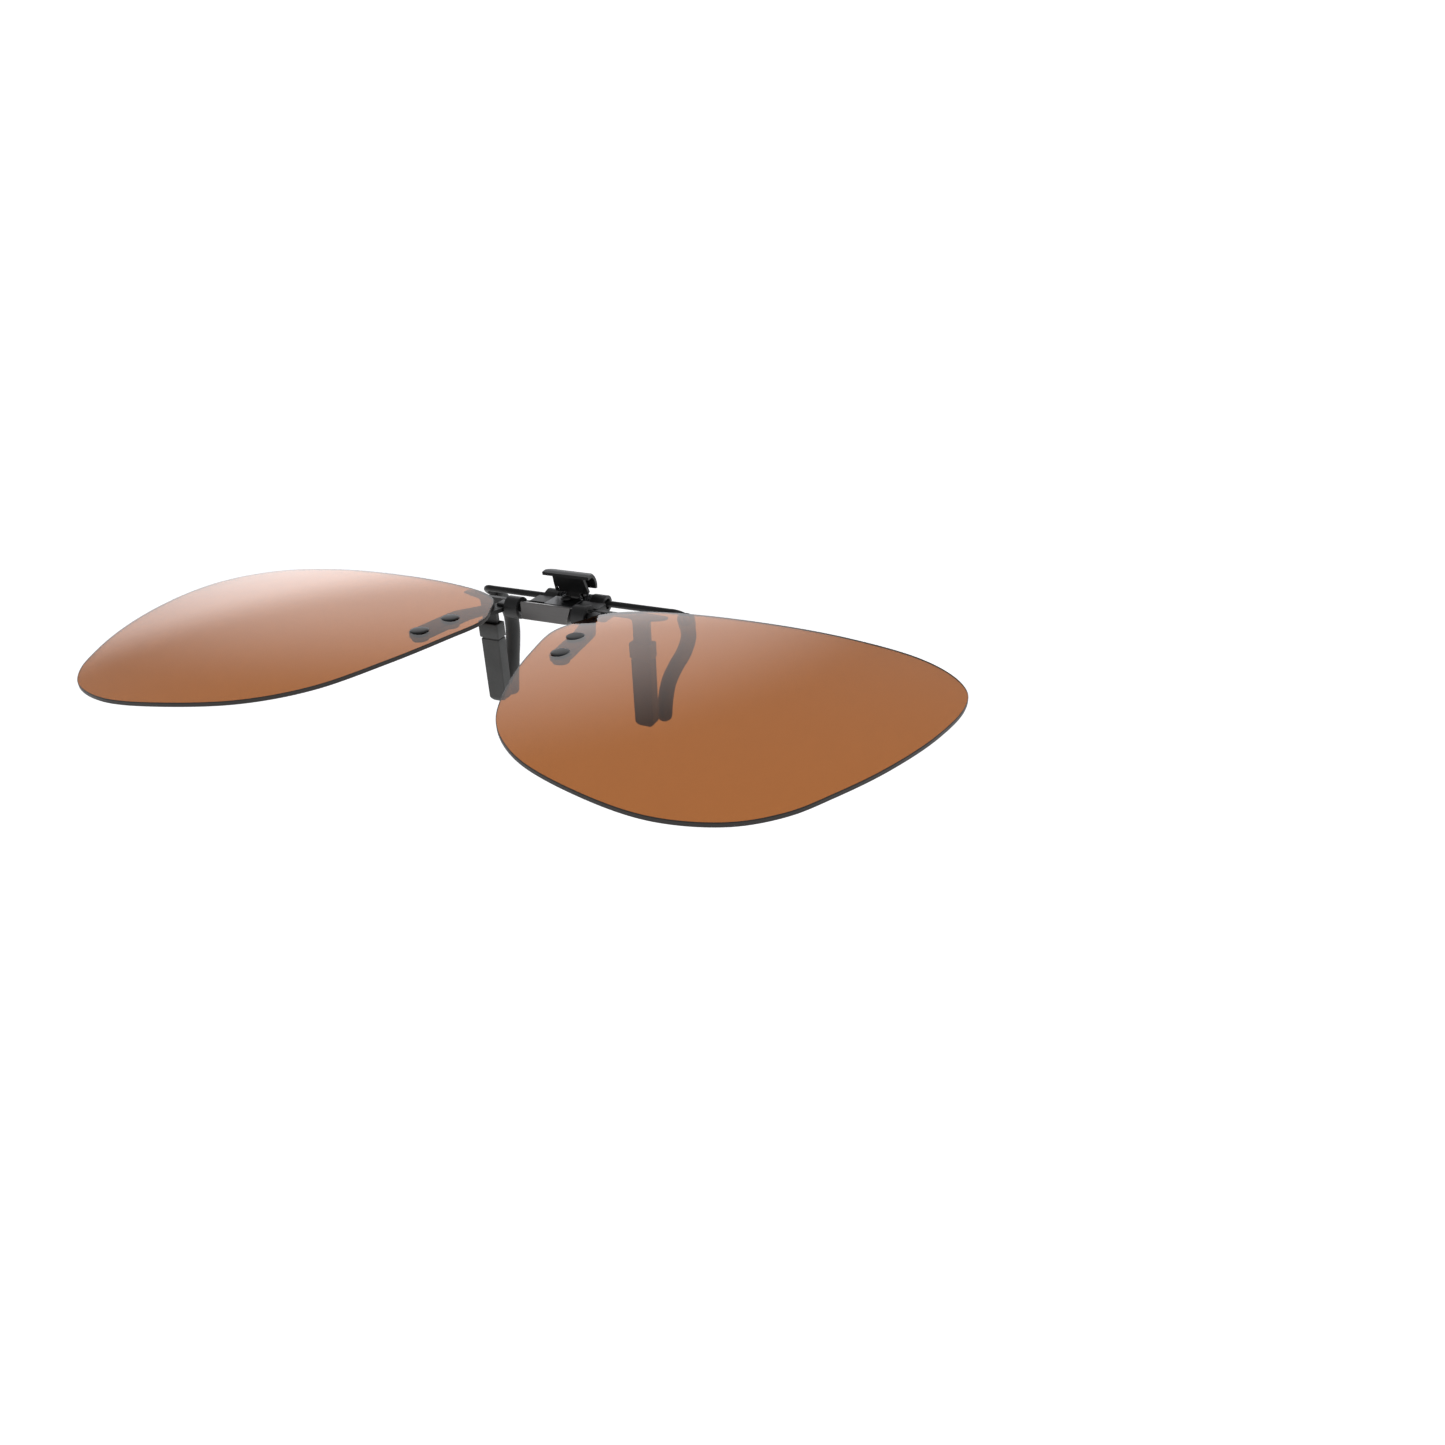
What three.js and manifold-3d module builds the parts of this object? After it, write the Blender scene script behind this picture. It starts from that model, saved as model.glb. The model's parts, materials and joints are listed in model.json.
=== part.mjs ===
// Clip-on flip-up lenses: a pair of tinted lenses on a sprung spectacle clip.
// Millimetres. +X is the wearer's left as seen from the front (right in a front view),
// -Y is forward, away from the face, +Z is up along the front legs.
// The origin is the middle of the grip: on the rear face of the front pads, halfway up them.
import * as THREE from 'three';
import { mergeVertices } from 'three/addons/utils/BufferGeometryUtils.js';
import Module from 'manifold-3d';

// ---------- driving dimensions ----------
const SIDES = [['left', -1], ['right', 1]];
const FIT = 0.3;                 // running clearance and the gap between touching pieces
const SNUG = 0.2;                // gap between pieces that are fixed to each other

const LENS_WIDTH = 56.0;         // across one lens
const LENS_HEIGHT = 44.0;        // top edge to bottom edge of one lens
const LENS_THICK = 0.6;
const LENS_RADIUS = 230;         // radius of the outer, convex face
const LENS_INNER = 5.8;          // mid-plane to the innermost point of a lens
const LENS_TILT = 2.6;           // degrees that a raised lens falls towards the front
const LENS_WRAP = 1.1;           // degrees that a lens falls towards its outer end

const FLIP_Y = -4.7;             // axis of the lens hinge
const FLIP_Z = 12.3;
const FLIP_PIN_RADIUS = 0.6;
const FLIP_BAR_HALF = 3.75;      // half length of the flip bar, along its lower edge
const FLIP_BAR_SPLAY = 0.5;      // how much longer each end of its upper edge is
const FLIP_BAR_TALL = 2.5;
const FLIP_BAR_DEEP = 2.0;
const FLIP_BAR_LEAN = 19;        // degrees that its front face looks up
const HOOK_WIDTH = 2.2;
const HOOK_THICK = 0.6;

const WIRE_Y = 3.6;              // axis of the rear wire, the squeeze hinge
const WIRE_Z = 11.35;
const WIRE_RADIUS = 0.5;
const WIRE_HALF = 17.4;          // mid-plane to the outer end of the straight run
const KNUCKLE_RADIUS = 1.3;
const KNUCKLE_INNER = 2.9;
const KNUCKLE_OUTER = 5.2;

const PLATE = 0.8;               // sheet of the stamped front frame
const ARM_REACH = 17.6;          // mid-plane to the tip of an arm
const ARM_TALL = 0.85;
const DECK_TOP = 12.0;           // deck between the two hinges, and the top of the arms
const PANEL_FOOT = 10.0;         // lower edge of the frame's middle panel
const PANEL_HALF = 7.4;
const LEG_X = 13.25;             // mid-plane to the middle of a front leg
const NECK_WIDTH = 2.6;
const TONGUE_WIDTH = 1.3;        // leg inside its sleeve
const DECK_HALF = 5.9;

const PAD_LENGTH = 13.4;         // silicone sleeve on a front leg
const PAD_TOP_WIDTH = 3.15;
const PAD_FOOT_WIDTH = 2.95;
const PAD_DEEP = 2.1;
const COLLAR_TALL = 2.3;
const COLLAR_PROUD = 0.12;
const PAD_CORNER = 0.5;          // chamfer on a sleeve's lower corners

const LEAF_HALF = 2.4;           // leaf spring that holds the flip bar up or down
const LEAF_THICK = 0.3;
const LEAF_RIVET_Y = 0.2;

const GRIP_GAP = 2.1;            // rear face of the front pads to the rear tubes, at the tips
const LEG_BOW = 4.85;            // how far the rear legs bow backwards
const TUBE_RADIUS = 1.2;         // silicone tube on a rear leg
const TUBE_START = 0.1;          // share of the leg left bare above the tube
const LEVER_SHEET = 0.5;
const LEVER_FOOT_HALF = 2.9;
const LEVER_TOP_HALF = 3.95;
const LEVER_TOP_Z = 16.1;
const LEVER_BARREL_HALF = 1.1;   // half width of the barrel crimped on the wire
const LEVER_BARREL_RADIUS = 1.15;
const LEVER_HOLE_RADIUS = 0.33;
const SPRING_WIRE = 0.17;        // radius of the spring's wire
const SPRING_RADIUS = 0.98;      // middle of its turns
const SPRING_TURNS = 3;

const BRACKET_THICK = 0.6;
const BRACKET_WIDTH = 3.1;
const RIVETS = [[10.2, 8.1], [11.2, 13.6]];   // from the mid-plane, and forward of the lens datum
const RIVET_HEAD_RADIUS = 1.3;
const RIVET_HEAD_TALL = 0.35;
const RIVET_SHANK_RADIUS = 0.55;
const WASHER_RADIUS = 1.15;
const WASHER_TALL = 0.35;

// ---------- derived places ----------
const LENS_DATUM_Y = FLIP_Y - 1.5;           // fore-and-aft datum of the lens outline
const LENS_DATUM_Z = FLIP_Z + 2.15;          // height of the outer face over the lens centre
const PLATE_Y = -PAD_DEEP / 2;               // mid-thickness of the front frame
const PAD_TOP = PAD_LENGTH / 2 + 1.0;
const PAD_FOOT = PAD_TOP - PAD_LENGTH;
const ARM_FOOT = DECK_TOP - ARM_TALL;
const HOOK_OUTER = FLIP_PIN_RADIUS + FIT + 0.15 + HOOK_THICK;
const HOOK_INNER = HOOK_OUTER - HOOK_THICK;
const HOOK_X = FLIP_BAR_HALF + FLIP_BAR_SPLAY + FIT;
const TONGUE_X = HOOK_X + HOOK_WIDTH + FIT;  // inner side of a lens bracket's tongue
const TONGUE_WIDE = 1.3;
const TONGUE_TALL = 1.2;
const TONGUE_DEEP = 1.9;

// ---------- geometry helpers ----------
const wasm = await Module();
wasm.setup();

function solid(geometry) {
  let g = geometry.index ? geometry.toNonIndexed() : geometry.clone();
  for (const name of Object.keys(g.attributes)) if (name !== 'position') g.deleteAttribute(name);
  g = mergeVertices(g, 1e-5);
  return new wasm.Manifold(new wasm.Mesh({
    numProp: 3,
    vertProperties: new Float32Array(g.attributes.position.array),
    triVerts: new Uint32Array(g.index.array),
  }));
}

function geometryOf(body) {
  const mesh = body.getMesh();
  const g = new THREE.BufferGeometry();
  g.setAttribute('position', new THREE.BufferAttribute(new Float32Array(mesh.vertProperties), 3));
  g.setIndex(new THREE.BufferAttribute(new Uint32Array(mesh.triVerts), 1));
  g.computeVertexNormals();
  return g;
}

const join = (first, ...rest) => geometryOf(rest.reduce((sum, g) => sum.add(solid(g)), solid(first)));
const cut = (first, ...rest) => geometryOf(rest.reduce((left, g) => left.subtract(solid(g)), solid(first)));
const overlap = (a, b) => geometryOf(solid(a).intersect(solid(b)));

function outline(points) {
  return new THREE.Shape(points.map(([a, b]) => new THREE.Vector2(a, b)));
}

/** A shape drawn in (y, z), made solid from x0 to x1. */
function alongX(shape, x0, x1, curveSegments = 8) {
  const g = new THREE.ExtrudeGeometry(shape, { depth: x1 - x0, bevelEnabled: false, curveSegments });
  g.applyMatrix4(new THREE.Matrix4().makeBasis(
    new THREE.Vector3(0, 1, 0), new THREE.Vector3(0, 0, 1), new THREE.Vector3(1, 0, 0)));
  return g.translate(x0, 0, 0);
}

/** A shape drawn in (x, z), made solid from y0 to y1. */
function alongY(shape, y0, y1, curveSegments = 8) {
  const g = new THREE.ExtrudeGeometry(shape, { depth: y1 - y0, bevelEnabled: false, curveSegments });
  return g.rotateX(Math.PI / 2).translate(0, y1, 0);
}

/** A shape drawn in (x, y), made solid from z0 to z1. */
function alongZ(shape, z0, z1, curveSegments = 8) {
  const g = new THREE.ExtrudeGeometry(shape, { depth: z1 - z0, bevelEnabled: false, curveSegments });
  return g.translate(0, 0, z0);
}

/** A round rod along X on the line (y, z). */
function rodX(radius, x0, x1, y, z, sides = 16) {
  const g = new THREE.CylinderGeometry(radius, radius, x1 - x0, sides);
  return g.rotateZ(Math.PI / 2).translate((x0 + x1) / 2, y, z);
}

/** A round rod along Z. */
function rodZ(radius, z0, z1, x, y, sides = 16) {
  const g = new THREE.CylinderGeometry(radius, radius, z1 - z0, sides);
  return g.rotateX(Math.PI / 2).translate(x, y, (z0 + z1) / 2);
}

function box(x0, x1, y0, y1, z0, z1) {
  return new THREE.BoxGeometry(x1 - x0, y1 - y0, z1 - z0)
    .translate((x0 + x1) / 2, (y0 + y1) / 2, (z0 + z1) / 2);
}

/** A round section carried along a curve, closed at both ends. */
function tube(curve, radius, steps, sides = 10) {
  const ring = [];
  for (let i = 0; i < sides; i++) {
    const a = (2 * Math.PI * i) / sides;
    ring.push([radius * Math.cos(a), radius * Math.sin(a)]);
  }
  return new THREE.ExtrudeGeometry(outline(ring), { steps, extrudePath: curve, bevelEnabled: false });
}

// ---------- assembly ----------
const clip = new THREE.Group();

const FINISH = {
  lens: { color: 0xa4683f, roughness: 0.08, metalness: 0 },
  blackMetal: { color: 0x1c1c1e, roughness: 0.42, metalness: 0.8 },
  satinMetal: { color: 0x61605e, roughness: 0.38, metalness: 0.85 },
  silicone: { color: 0x3c3d3c, roughness: 0.6, metalness: 0 },
  springSteel: { color: 0x8b8c8c, roughness: 0.3, metalness: 1 },
};

function add(name, geometry, finish) {
  const mesh = new THREE.Mesh(geometry, new THREE.MeshStandardMaterial(FINISH[finish]));
  mesh.name = name;
  clip.add(mesh);
}

// ---------- lenses ----------
// Outline of the right lens as shares of its width (from the inner edge) and height (from the top).
// Round corners are left to the spline through these points.
const LENS_OUTLINE = [
  [0.03, 0.10], [0.00, 0.20], [0.018, 0.36], [0.06, 0.56], [0.135, 0.77], [0.245, 0.897],
  [0.41, 0.975], [0.57, 0.998], [0.70, 0.952], [0.785, 0.868], [0.845, 0.76], [0.91, 0.61],
  [0.97, 0.41], [1.00, 0.21], [0.99, 0.10], [0.945, 0.02], [0.86, -0.04], [0.68, -0.068],
  [0.44, -0.062], [0.22, -0.042], [0.11, -0.012], [0.06, 0.03],
];
const LENS_TOP = -2.4;           // top edge of the lens, forward of the lens datum

/** Height of a raised lens's outer face above the lens datum: a shallow sphere on a tilted plane. */
function lensHeight(u, v) {
  const mu = LENS_INNER + 0.43 * LENS_WIDTH;
  const mv = LENS_TOP + 0.45 * LENS_HEIGHT;
  const dome = -((u - mu) ** 2 + (v - mv) ** 2) / (2 * LENS_RADIUS);
  const wrap = -Math.tan(THREE.MathUtils.degToRad(LENS_WRAP)) * (u - mu);
  const tilt = -Math.tan(THREE.MathUtils.degToRad(LENS_TILT)) * v;
  return dome + wrap + tilt;
}

function lensPoint(u, v, drop) {
  return [u, LENS_DATUM_Y - v, LENS_DATUM_Z + lensHeight(u, v) - drop];
}

function lensSolid() {
  const around = 60;
  const rings = 5;
  const rim = new THREE.CatmullRomCurve3(
    LENS_OUTLINE.map(([s, t]) => new THREE.Vector3(
      LENS_INNER + s * LENS_WIDTH, LENS_TOP + t * LENS_HEIGHT, 0)), true, 'centripetal');
  const edge = rim.getSpacedPoints(around).slice(0, around);
  const mu = LENS_INNER + 0.48 * LENS_WIDTH;
  const mv = LENS_TOP + 0.46 * LENS_HEIGHT;
  const position = [];
  const index = [];
  for (const drop of [0, LENS_THICK]) {
    position.push(...lensPoint(mu, mv, drop));
    for (let r = 1; r <= rings; r++) {
      const share = r / rings;
      for (const p of edge) position.push(...lensPoint(mu + (p.x - mu) * share, mv + (p.y - mv) * share, drop));
    }
  }
  const layer = 1 + rings * around;
  const at = (side, r, i) => side * layer + 1 + (r - 1) * around + (i % around);
  for (let i = 0; i < around; i++) {
    index.push(0, at(0, 1, i), at(0, 1, i + 1));
    index.push(layer, at(1, 1, i + 1), at(1, 1, i));
    for (let r = 1; r < rings; r++) {
      index.push(at(0, r, i), at(0, r + 1, i), at(0, r + 1, i + 1), at(0, r, i), at(0, r + 1, i + 1), at(0, r, i + 1));
      index.push(at(1, r, i), at(1, r + 1, i + 1), at(1, r + 1, i), at(1, r, i), at(1, r, i + 1), at(1, r + 1, i + 1));
    }
    index.push(at(0, rings, i), at(1, rings, i), at(1, rings, i + 1));
    index.push(at(0, rings, i), at(1, rings, i + 1), at(0, rings, i + 1));
  }
  const g = new THREE.BufferGeometry();
  g.setAttribute('position', new THREE.Float32BufferAttribute(position, 3));
  g.setIndex(index);
  return g;
}

/** Mirrors a right-hand piece to the left. */
function sided(geometry, side) {
  if (side > 0) return geometry;
  const g = geometry.index ? geometry.toNonIndexed() : geometry.clone();
  g.scale(-1, 1, 1);
  const p = g.attributes.position;
  for (let i = 0; i < p.count; i += 3) {
    for (const k of ['X', 'Y', 'Z']) {
      const held = p[`get${k}`](i + 1);
      p[`set${k}`](i + 1, p[`get${k}`](i + 2));
      p[`set${k}`](i + 2, held);
    }
  }
  g.computeVertexNormals();
  return g;
}

const BRACKET_GAP = SNUG + 0.06;             // its flat facets cut the corners of the curved lens
const bracketTop = (u, v) => LENS_DATUM_Z + lensHeight(u, v) - LENS_THICK - BRACKET_GAP;
const BRACKET_NOSE = [RIVETS[1][0], RIVETS[1][1] - 0.2];

function bracketSolid() {
  const half = BRACKET_WIDTH / 2;
  const [noseX, noseV] = BRACKET_NOSE;
  const noseY = LENS_DATUM_Y - noseV;
  const [rootX] = RIVETS[0];
  const rootY = LENS_DATUM_Y - RIVETS[0][1] + 2.5;
  const lean = Math.atan2(noseX - rootX, rootY - noseY);
  const across = [half * Math.cos(lean), half * Math.sin(lean)];
  const tongueOut = TONGUE_X + TONGUE_WIDE;
  const tongueFront = FLIP_Y - TONGUE_DEEP / 2;
  const shape = new THREE.Shape();
  shape.moveTo(TONGUE_X, tongueFront + 0.4);
  shape.lineTo(TONGUE_X, tongueFront - 0.6);
  shape.lineTo(rootX - across[0], rootY - across[1]);
  shape.lineTo(noseX - across[0], noseY - across[1]);
  shape.absarc(noseX, noseY, half, Math.PI + lean, 2 * Math.PI + lean, false);
  shape.lineTo(rootX + across[0], rootY + across[1]);
  shape.lineTo(tongueOut, tongueFront + 0.1);
  shape.lineTo(tongueOut, tongueFront + 0.4);
  const plate = alongZ(shape, -BRACKET_THICK, 0, 6);
  const p = plate.attributes.position;
  for (let i = 0; i < p.count; i++) p.setZ(i, p.getZ(i) + bracketTop(p.getX(i), LENS_DATUM_Y - p.getY(i)));
  const tongue = box(TONGUE_X, tongueOut, tongueFront, tongueFront + TONGUE_DEEP,
    FLIP_Z - TONGUE_TALL / 2, FLIP_Z + TONGUE_TALL / 2);
  const holes = RIVETS.map(([u, v]) => rodZ(RIVET_SHANK_RADIUS + SNUG, bracketTop(u, v) - BRACKET_THICK - 1,
    bracketTop(u, v) + 1, u, LENS_DATUM_Y - v, 12));
  return cut(join(plate, tongue), ...holes);
}

const washerTop = (u, v) => bracketTop(u - WASHER_RADIUS, v + WASHER_RADIUS) - BRACKET_THICK - SNUG;

/** A domed head on a shank, one piece, standing through the lens and its bracket. */
function rivetSolid(u, v) {
  const seat = LENS_DATUM_Z + Math.max(...[-1, 0, 1].map((s) => lensHeight(u + s * RIVET_HEAD_RADIUS, v))) + 0.1;
  const foot = washerTop(u, v) - WASHER_TALL - 0.15;
  const profile = [
    [0, foot], [RIVET_SHANK_RADIUS, foot], [RIVET_SHANK_RADIUS, seat], [RIVET_HEAD_RADIUS, seat],
    [RIVET_HEAD_RADIUS, seat + 0.45 * RIVET_HEAD_TALL],
    [0.75 * RIVET_HEAD_RADIUS, seat + 0.85 * RIVET_HEAD_TALL], [0, seat + RIVET_HEAD_TALL],
  ].map(([r, z]) => new THREE.Vector2(r, z));
  return new THREE.LatheGeometry(profile, 16).rotateX(Math.PI / 2).translate(u, LENS_DATUM_Y - v, 0);
}

/** The washer that a rivet is closed on, under the bracket. */
function washerSolid(u, v) {
  const top = washerTop(u, v);
  const inner = RIVET_SHANK_RADIUS + SNUG;
  const profile = [
    [inner, top - WASHER_TALL], [WASHER_RADIUS, top - WASHER_TALL], [WASHER_RADIUS, top], [inner, top],
    [inner, top - WASHER_TALL],
  ].map(([r, z]) => new THREE.Vector2(r, z));
  return new THREE.LatheGeometry(profile, 14).rotateX(Math.PI / 2).translate(u, LENS_DATUM_Y - v, 0);
}

for (const [hand, side] of SIDES) {
  const holes = RIVETS.map(([u, v]) => rodZ(RIVET_SHANK_RADIUS + SNUG, LENS_DATUM_Z - 8, LENS_DATUM_Z + 8,
    u, LENS_DATUM_Y - v, 12));
  add(`lens_${hand}`, sided(cut(lensSolid(), ...holes), side), 'lens');
  add(`lens_bracket_${hand}`, sided(bracketSolid(), side), 'blackMetal');
  RIVETS.forEach(([u, v], i) => {
    add(`lens_rivet_${hand}_${i + 1}`, sided(rivetSolid(u, v), side), 'blackMetal');
    add(`rivet_washer_${hand}_${i + 1}`, sided(washerSolid(u, v), side), 'blackMetal');
  });
}

// ---------- flip bar and its pin ----------
function flipBar() {
  const half = FLIP_BAR_HALF;
  const long = FLIP_BAR_HALF + FLIP_BAR_SPLAY;
  const tall = FLIP_BAR_TALL / 2;
  const block = alongY(outline([[-half, -tall], [half, -tall], [long, tall], [-long, tall]]),
    -FLIP_BAR_DEEP / 2 - 0.3, FLIP_BAR_DEEP / 2 - 0.3).translate(0, 0, -0.25);
  block.rotateX(-THREE.MathUtils.degToRad(FLIP_BAR_LEAN)).translate(0, FLIP_Y, FLIP_Z);
  return cut(block, rodX(FLIP_PIN_RADIUS + SNUG, -9, 9, FLIP_Y, FLIP_Z, 16));
}
add('flip_bar', flipBar(), 'satinMetal');
add('flip_pin', rodX(FLIP_PIN_RADIUS, -TONGUE_X + 0.1, TONGUE_X - 0.1, FLIP_Y, FLIP_Z, 12), 'blackMetal');

// ---------- stamped front frame ----------
/** Half of the frame's face, to the right of the mid-plane, drawn in (x, z). */
function frameFace() {
  const neckIn = LEG_X - NECK_WIDTH / 2;
  const neckOut = LEG_X + NECK_WIDTH / 2;
  const tongueFoot = PAD_FOOT + 1.6;
  const shoulder = PAD_TOP + 0.5;
  const half = [
    [0, PANEL_FOOT], [PANEL_HALF, PANEL_FOOT], [PANEL_HALF + 1.5, ARM_FOOT], [neckIn - 0.5, ARM_FOOT],
    [neckIn, ARM_FOOT - 0.6],
    [neckIn, shoulder], [LEG_X - TONGUE_WIDTH / 2, shoulder - 0.3], [LEG_X - TONGUE_WIDTH / 2, tongueFoot],
    [LEG_X + TONGUE_WIDTH / 2, tongueFoot], [LEG_X + TONGUE_WIDTH / 2, shoulder - 0.3], [neckOut, shoulder],
    [neckOut, ARM_FOOT - 0.3], [neckOut + 0.5, ARM_FOOT], [ARM_REACH - 1.6, ARM_FOOT + 0.2 * ARM_TALL],
    [ARM_REACH, ARM_FOOT + 0.7 * ARM_TALL], [ARM_REACH - 0.4, DECK_TOP], [0, DECK_TOP],
  ];
  const other = half.slice(1, -1).reverse().map(([x, z]) => [-x, z]);
  return outline([...half, ...other]);
}

/** A strap curled round the flip pin: from the deck, under, up the front, over the top. */
function hookProfile() {
  const open = THREE.MathUtils.degToRad(28);
  const shape = new THREE.Shape();
  shape.absarc(FLIP_Y, FLIP_Z, HOOK_OUTER, -open, open, true);
  shape.absarc(FLIP_Y, FLIP_Z, HOOK_INNER, open, -open, false);
  return shape;
}

function frontFrame() {
  const deckFoot = DECK_TOP - PLATE;
  const front = PLATE_Y - PLATE / 2;
  const deckBack = WIRE_Y - KNUCKLE_RADIUS - FIT;
  const parts = [
    alongY(frameFace(), front, front + PLATE),
    box(-DECK_HALF, DECK_HALF, front + 0.1, deckBack, deckFoot, DECK_TOP),
  ];
  for (const side of [-1, 1]) {
    const x0 = side > 0 ? HOOK_X : -HOOK_X - HOOK_WIDTH;
    parts.push(alongX(hookProfile(), x0, x0 + HOOK_WIDTH, 18));
    parts.push(box(x0, x0 + HOOK_WIDTH, FLIP_Y + 0.9 * HOOK_INNER, front + 0.2, FLIP_Z - HOOK_OUTER + 0.25,
      FLIP_Z - HOOK_OUTER + 0.25 + HOOK_THICK));
    const k0 = side > 0 ? KNUCKLE_INNER : -KNUCKLE_OUTER;
    const width = KNUCKLE_OUTER - KNUCKLE_INNER;
    parts.push(rodX(KNUCKLE_RADIUS, k0, k0 + width, WIRE_Y, WIRE_Z, 20));
    parts.push(box(k0, k0 + width, deckBack - 0.1, WIRE_Y, deckFoot, DECK_TOP));
  }
  const body = join(...parts);
  return cut(body, rodX(WIRE_RADIUS + FIT, -WIRE_HALF, WIRE_HALF, WIRE_Y, WIRE_Z, 16),
    rodX(HOOK_INNER, -HOOK_X - HOOK_WIDTH - 1, HOOK_X + HOOK_WIDTH + 1, FLIP_Y, FLIP_Z, 24));
}
add('front_frame', frontFrame(), 'blackMetal');

// ---------- silicone sleeves on the front legs ----------
function frontSleeve() {
  const top = PAD_TOP;
  const bottom = PAD_FOOT;
  const wide = PAD_TOP_WIDTH / 2;
  const narrow = PAD_FOOT_WIDTH / 2;
  const body = alongY(outline([
    [-narrow + PAD_CORNER, bottom], [narrow - PAD_CORNER, bottom], [narrow, bottom + PAD_CORNER],
    [wide, top], [-wide, top], [-narrow, bottom + PAD_CORNER],
  ]), -PAD_DEEP, 0);
  const collar = box(-wide - COLLAR_PROUD, wide + COLLAR_PROUD, -PAD_DEEP - COLLAR_PROUD, 0,
    top - COLLAR_TALL, top);
  const slot = box(-TONGUE_WIDTH / 2 - SNUG, TONGUE_WIDTH / 2 + SNUG, PLATE_Y - PLATE / 2 - SNUG,
    PLATE_Y + PLATE / 2 + SNUG, bottom + 1.2, top + 1);
  return cut(join(body, collar), slot).translate(LEG_X, 0, 0);
}
for (const [hand, side] of SIDES) add(`front_sleeve_${hand}`, sided(frontSleeve(), side), 'silicone');

// ---------- detent leaf spring ----------
const LEAF_FOOT = DECK_TOP + SNUG;
function detentLeaf() {
  const front = FLIP_Y + 2.45;
  const leaf = box(-LEAF_HALF, LEAF_HALF, front, 1.3, LEAF_FOOT, LEAF_FOOT + LEAF_THICK);
  return cut(leaf, rodZ(0.5 + SNUG, 0, 20, 0, LEAF_RIVET_Y, 12));
}
add('detent_leaf', detentLeaf(), 'springSteel');
const LEAF_RIVET = [[0, 0], [0.5, 0], [0.5, 0.55], [0.85, 0.55], [0.8, 0.8], [0, 0.9]]
  .map(([r, z]) => new THREE.Vector2(r, z));
add('leaf_rivet', new THREE.LatheGeometry(LEAF_RIVET, 14).rotateX(Math.PI / 2)
  .translate(0, LEAF_RIVET_Y, DECK_TOP + 0.1), 'blackMetal');

// ---------- rear wire with its two bowed legs ----------
// A leg's route, from the end of the straight run down to its tip: share of the way inwards,
// share of the way down, and share of the bow backwards.
const LEG_ROUTE = [
  [0.00, 0.04, 0.19], [0.11, 0.12, 0.50], [0.26, 0.23, 0.84], [0.34, 0.36, 1.00], [0.51, 0.49, 0.87],
  [0.74, 0.60, 0.57], [0.91, 0.715, 0.29], [0.985, 0.855, 0.11], [1.00, 1.00, 0.00],
];
const LEG_TIP_X = LEG_X + 0.85;
const LEG_TIP_Y = GRIP_GAP + TUBE_RADIUS;
const LEG_TIP_Z = PAD_FOOT + 0.1;
const lerp = THREE.MathUtils.lerp;
const legPoint = ([inward, down, bow]) => new THREE.Vector3(
  lerp(WIRE_HALF, LEG_TIP_X, inward),
  lerp(WIRE_Y, LEG_TIP_Y, down) + LEG_BOW * bow,
  lerp(WIRE_Z, LEG_TIP_Z, down));
const smooth = (points) => new THREE.CatmullRomCurve3(points, false, 'centripetal');
const mirrored = (p) => new THREE.Vector3(-p.x, p.y, p.z);

function rearWire() {
  const bend = new THREE.Vector3(WIRE_HALF - 0.9, WIRE_Y, WIRE_Z);
  const leg = [bend, ...LEG_ROUTE.map(legPoint)];
  const straight = [-1, -0.4, 0.4, 1].map((s) => new THREE.Vector3(s * (WIRE_HALF - 2), WIRE_Y, WIRE_Z));
  return tube(smooth([...leg.map(mirrored).reverse(), ...straight, ...leg]), WIRE_RADIUS, 72, 8);
}
add('rear_wire', rearWire(), 'blackMetal');

// ---------- silicone tubes on the rear legs ----------
function rearSleeve() {
  const leg = smooth(LEG_ROUTE.map(legPoint));
  const tip = leg.getPointAt(1);
  const down = leg.getTangentAt(1);
  const past = (d) => tip.clone().addScaledVector(down, d);
  const along = (from, steps) => Array.from({ length: steps + 1 },
    (_, i) => leg.getPointAt(lerp(from, 1, i / steps)));
  const outer = tube(smooth([...along(TUBE_START, 9), past(0.4)]), TUBE_RADIUS, 22, 12);
  const cap = new THREE.SphereGeometry(TUBE_RADIUS * 0.97, 12, 8).translate(...past(0.35).toArray());
  const inner = tube(smooth([...along(TUBE_START - 0.06, 9), past(SNUG)]), WIRE_RADIUS + SNUG, 24, 8);
  return cut(join(outer, cap), inner);
}
for (const [hand, side] of SIDES) add(`rear_sleeve_${hand}`, sided(rearSleeve(), side), 'silicone');

// ---------- squeeze lever ----------
/** A sheet of even thickness along a bent line, drawn in (y, z). */
function sheetOutline(points, thick) {
  const line = new THREE.SplineCurve(points.map(([y, z]) => new THREE.Vector2(y, z)));
  const steps = 3 * (points.length - 1);
  const sideOf = (s) => Array.from({ length: steps + 1 }, (_, i) => {
    const t = line.getTangent(i / steps);
    return line.getPoint(i / steps).add(new THREE.Vector2(-t.y, t.x).multiplyScalar((s * thick) / 2));
  });
  return new THREE.Shape([...sideOf(1), ...sideOf(-1).reverse()]);
}

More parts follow.
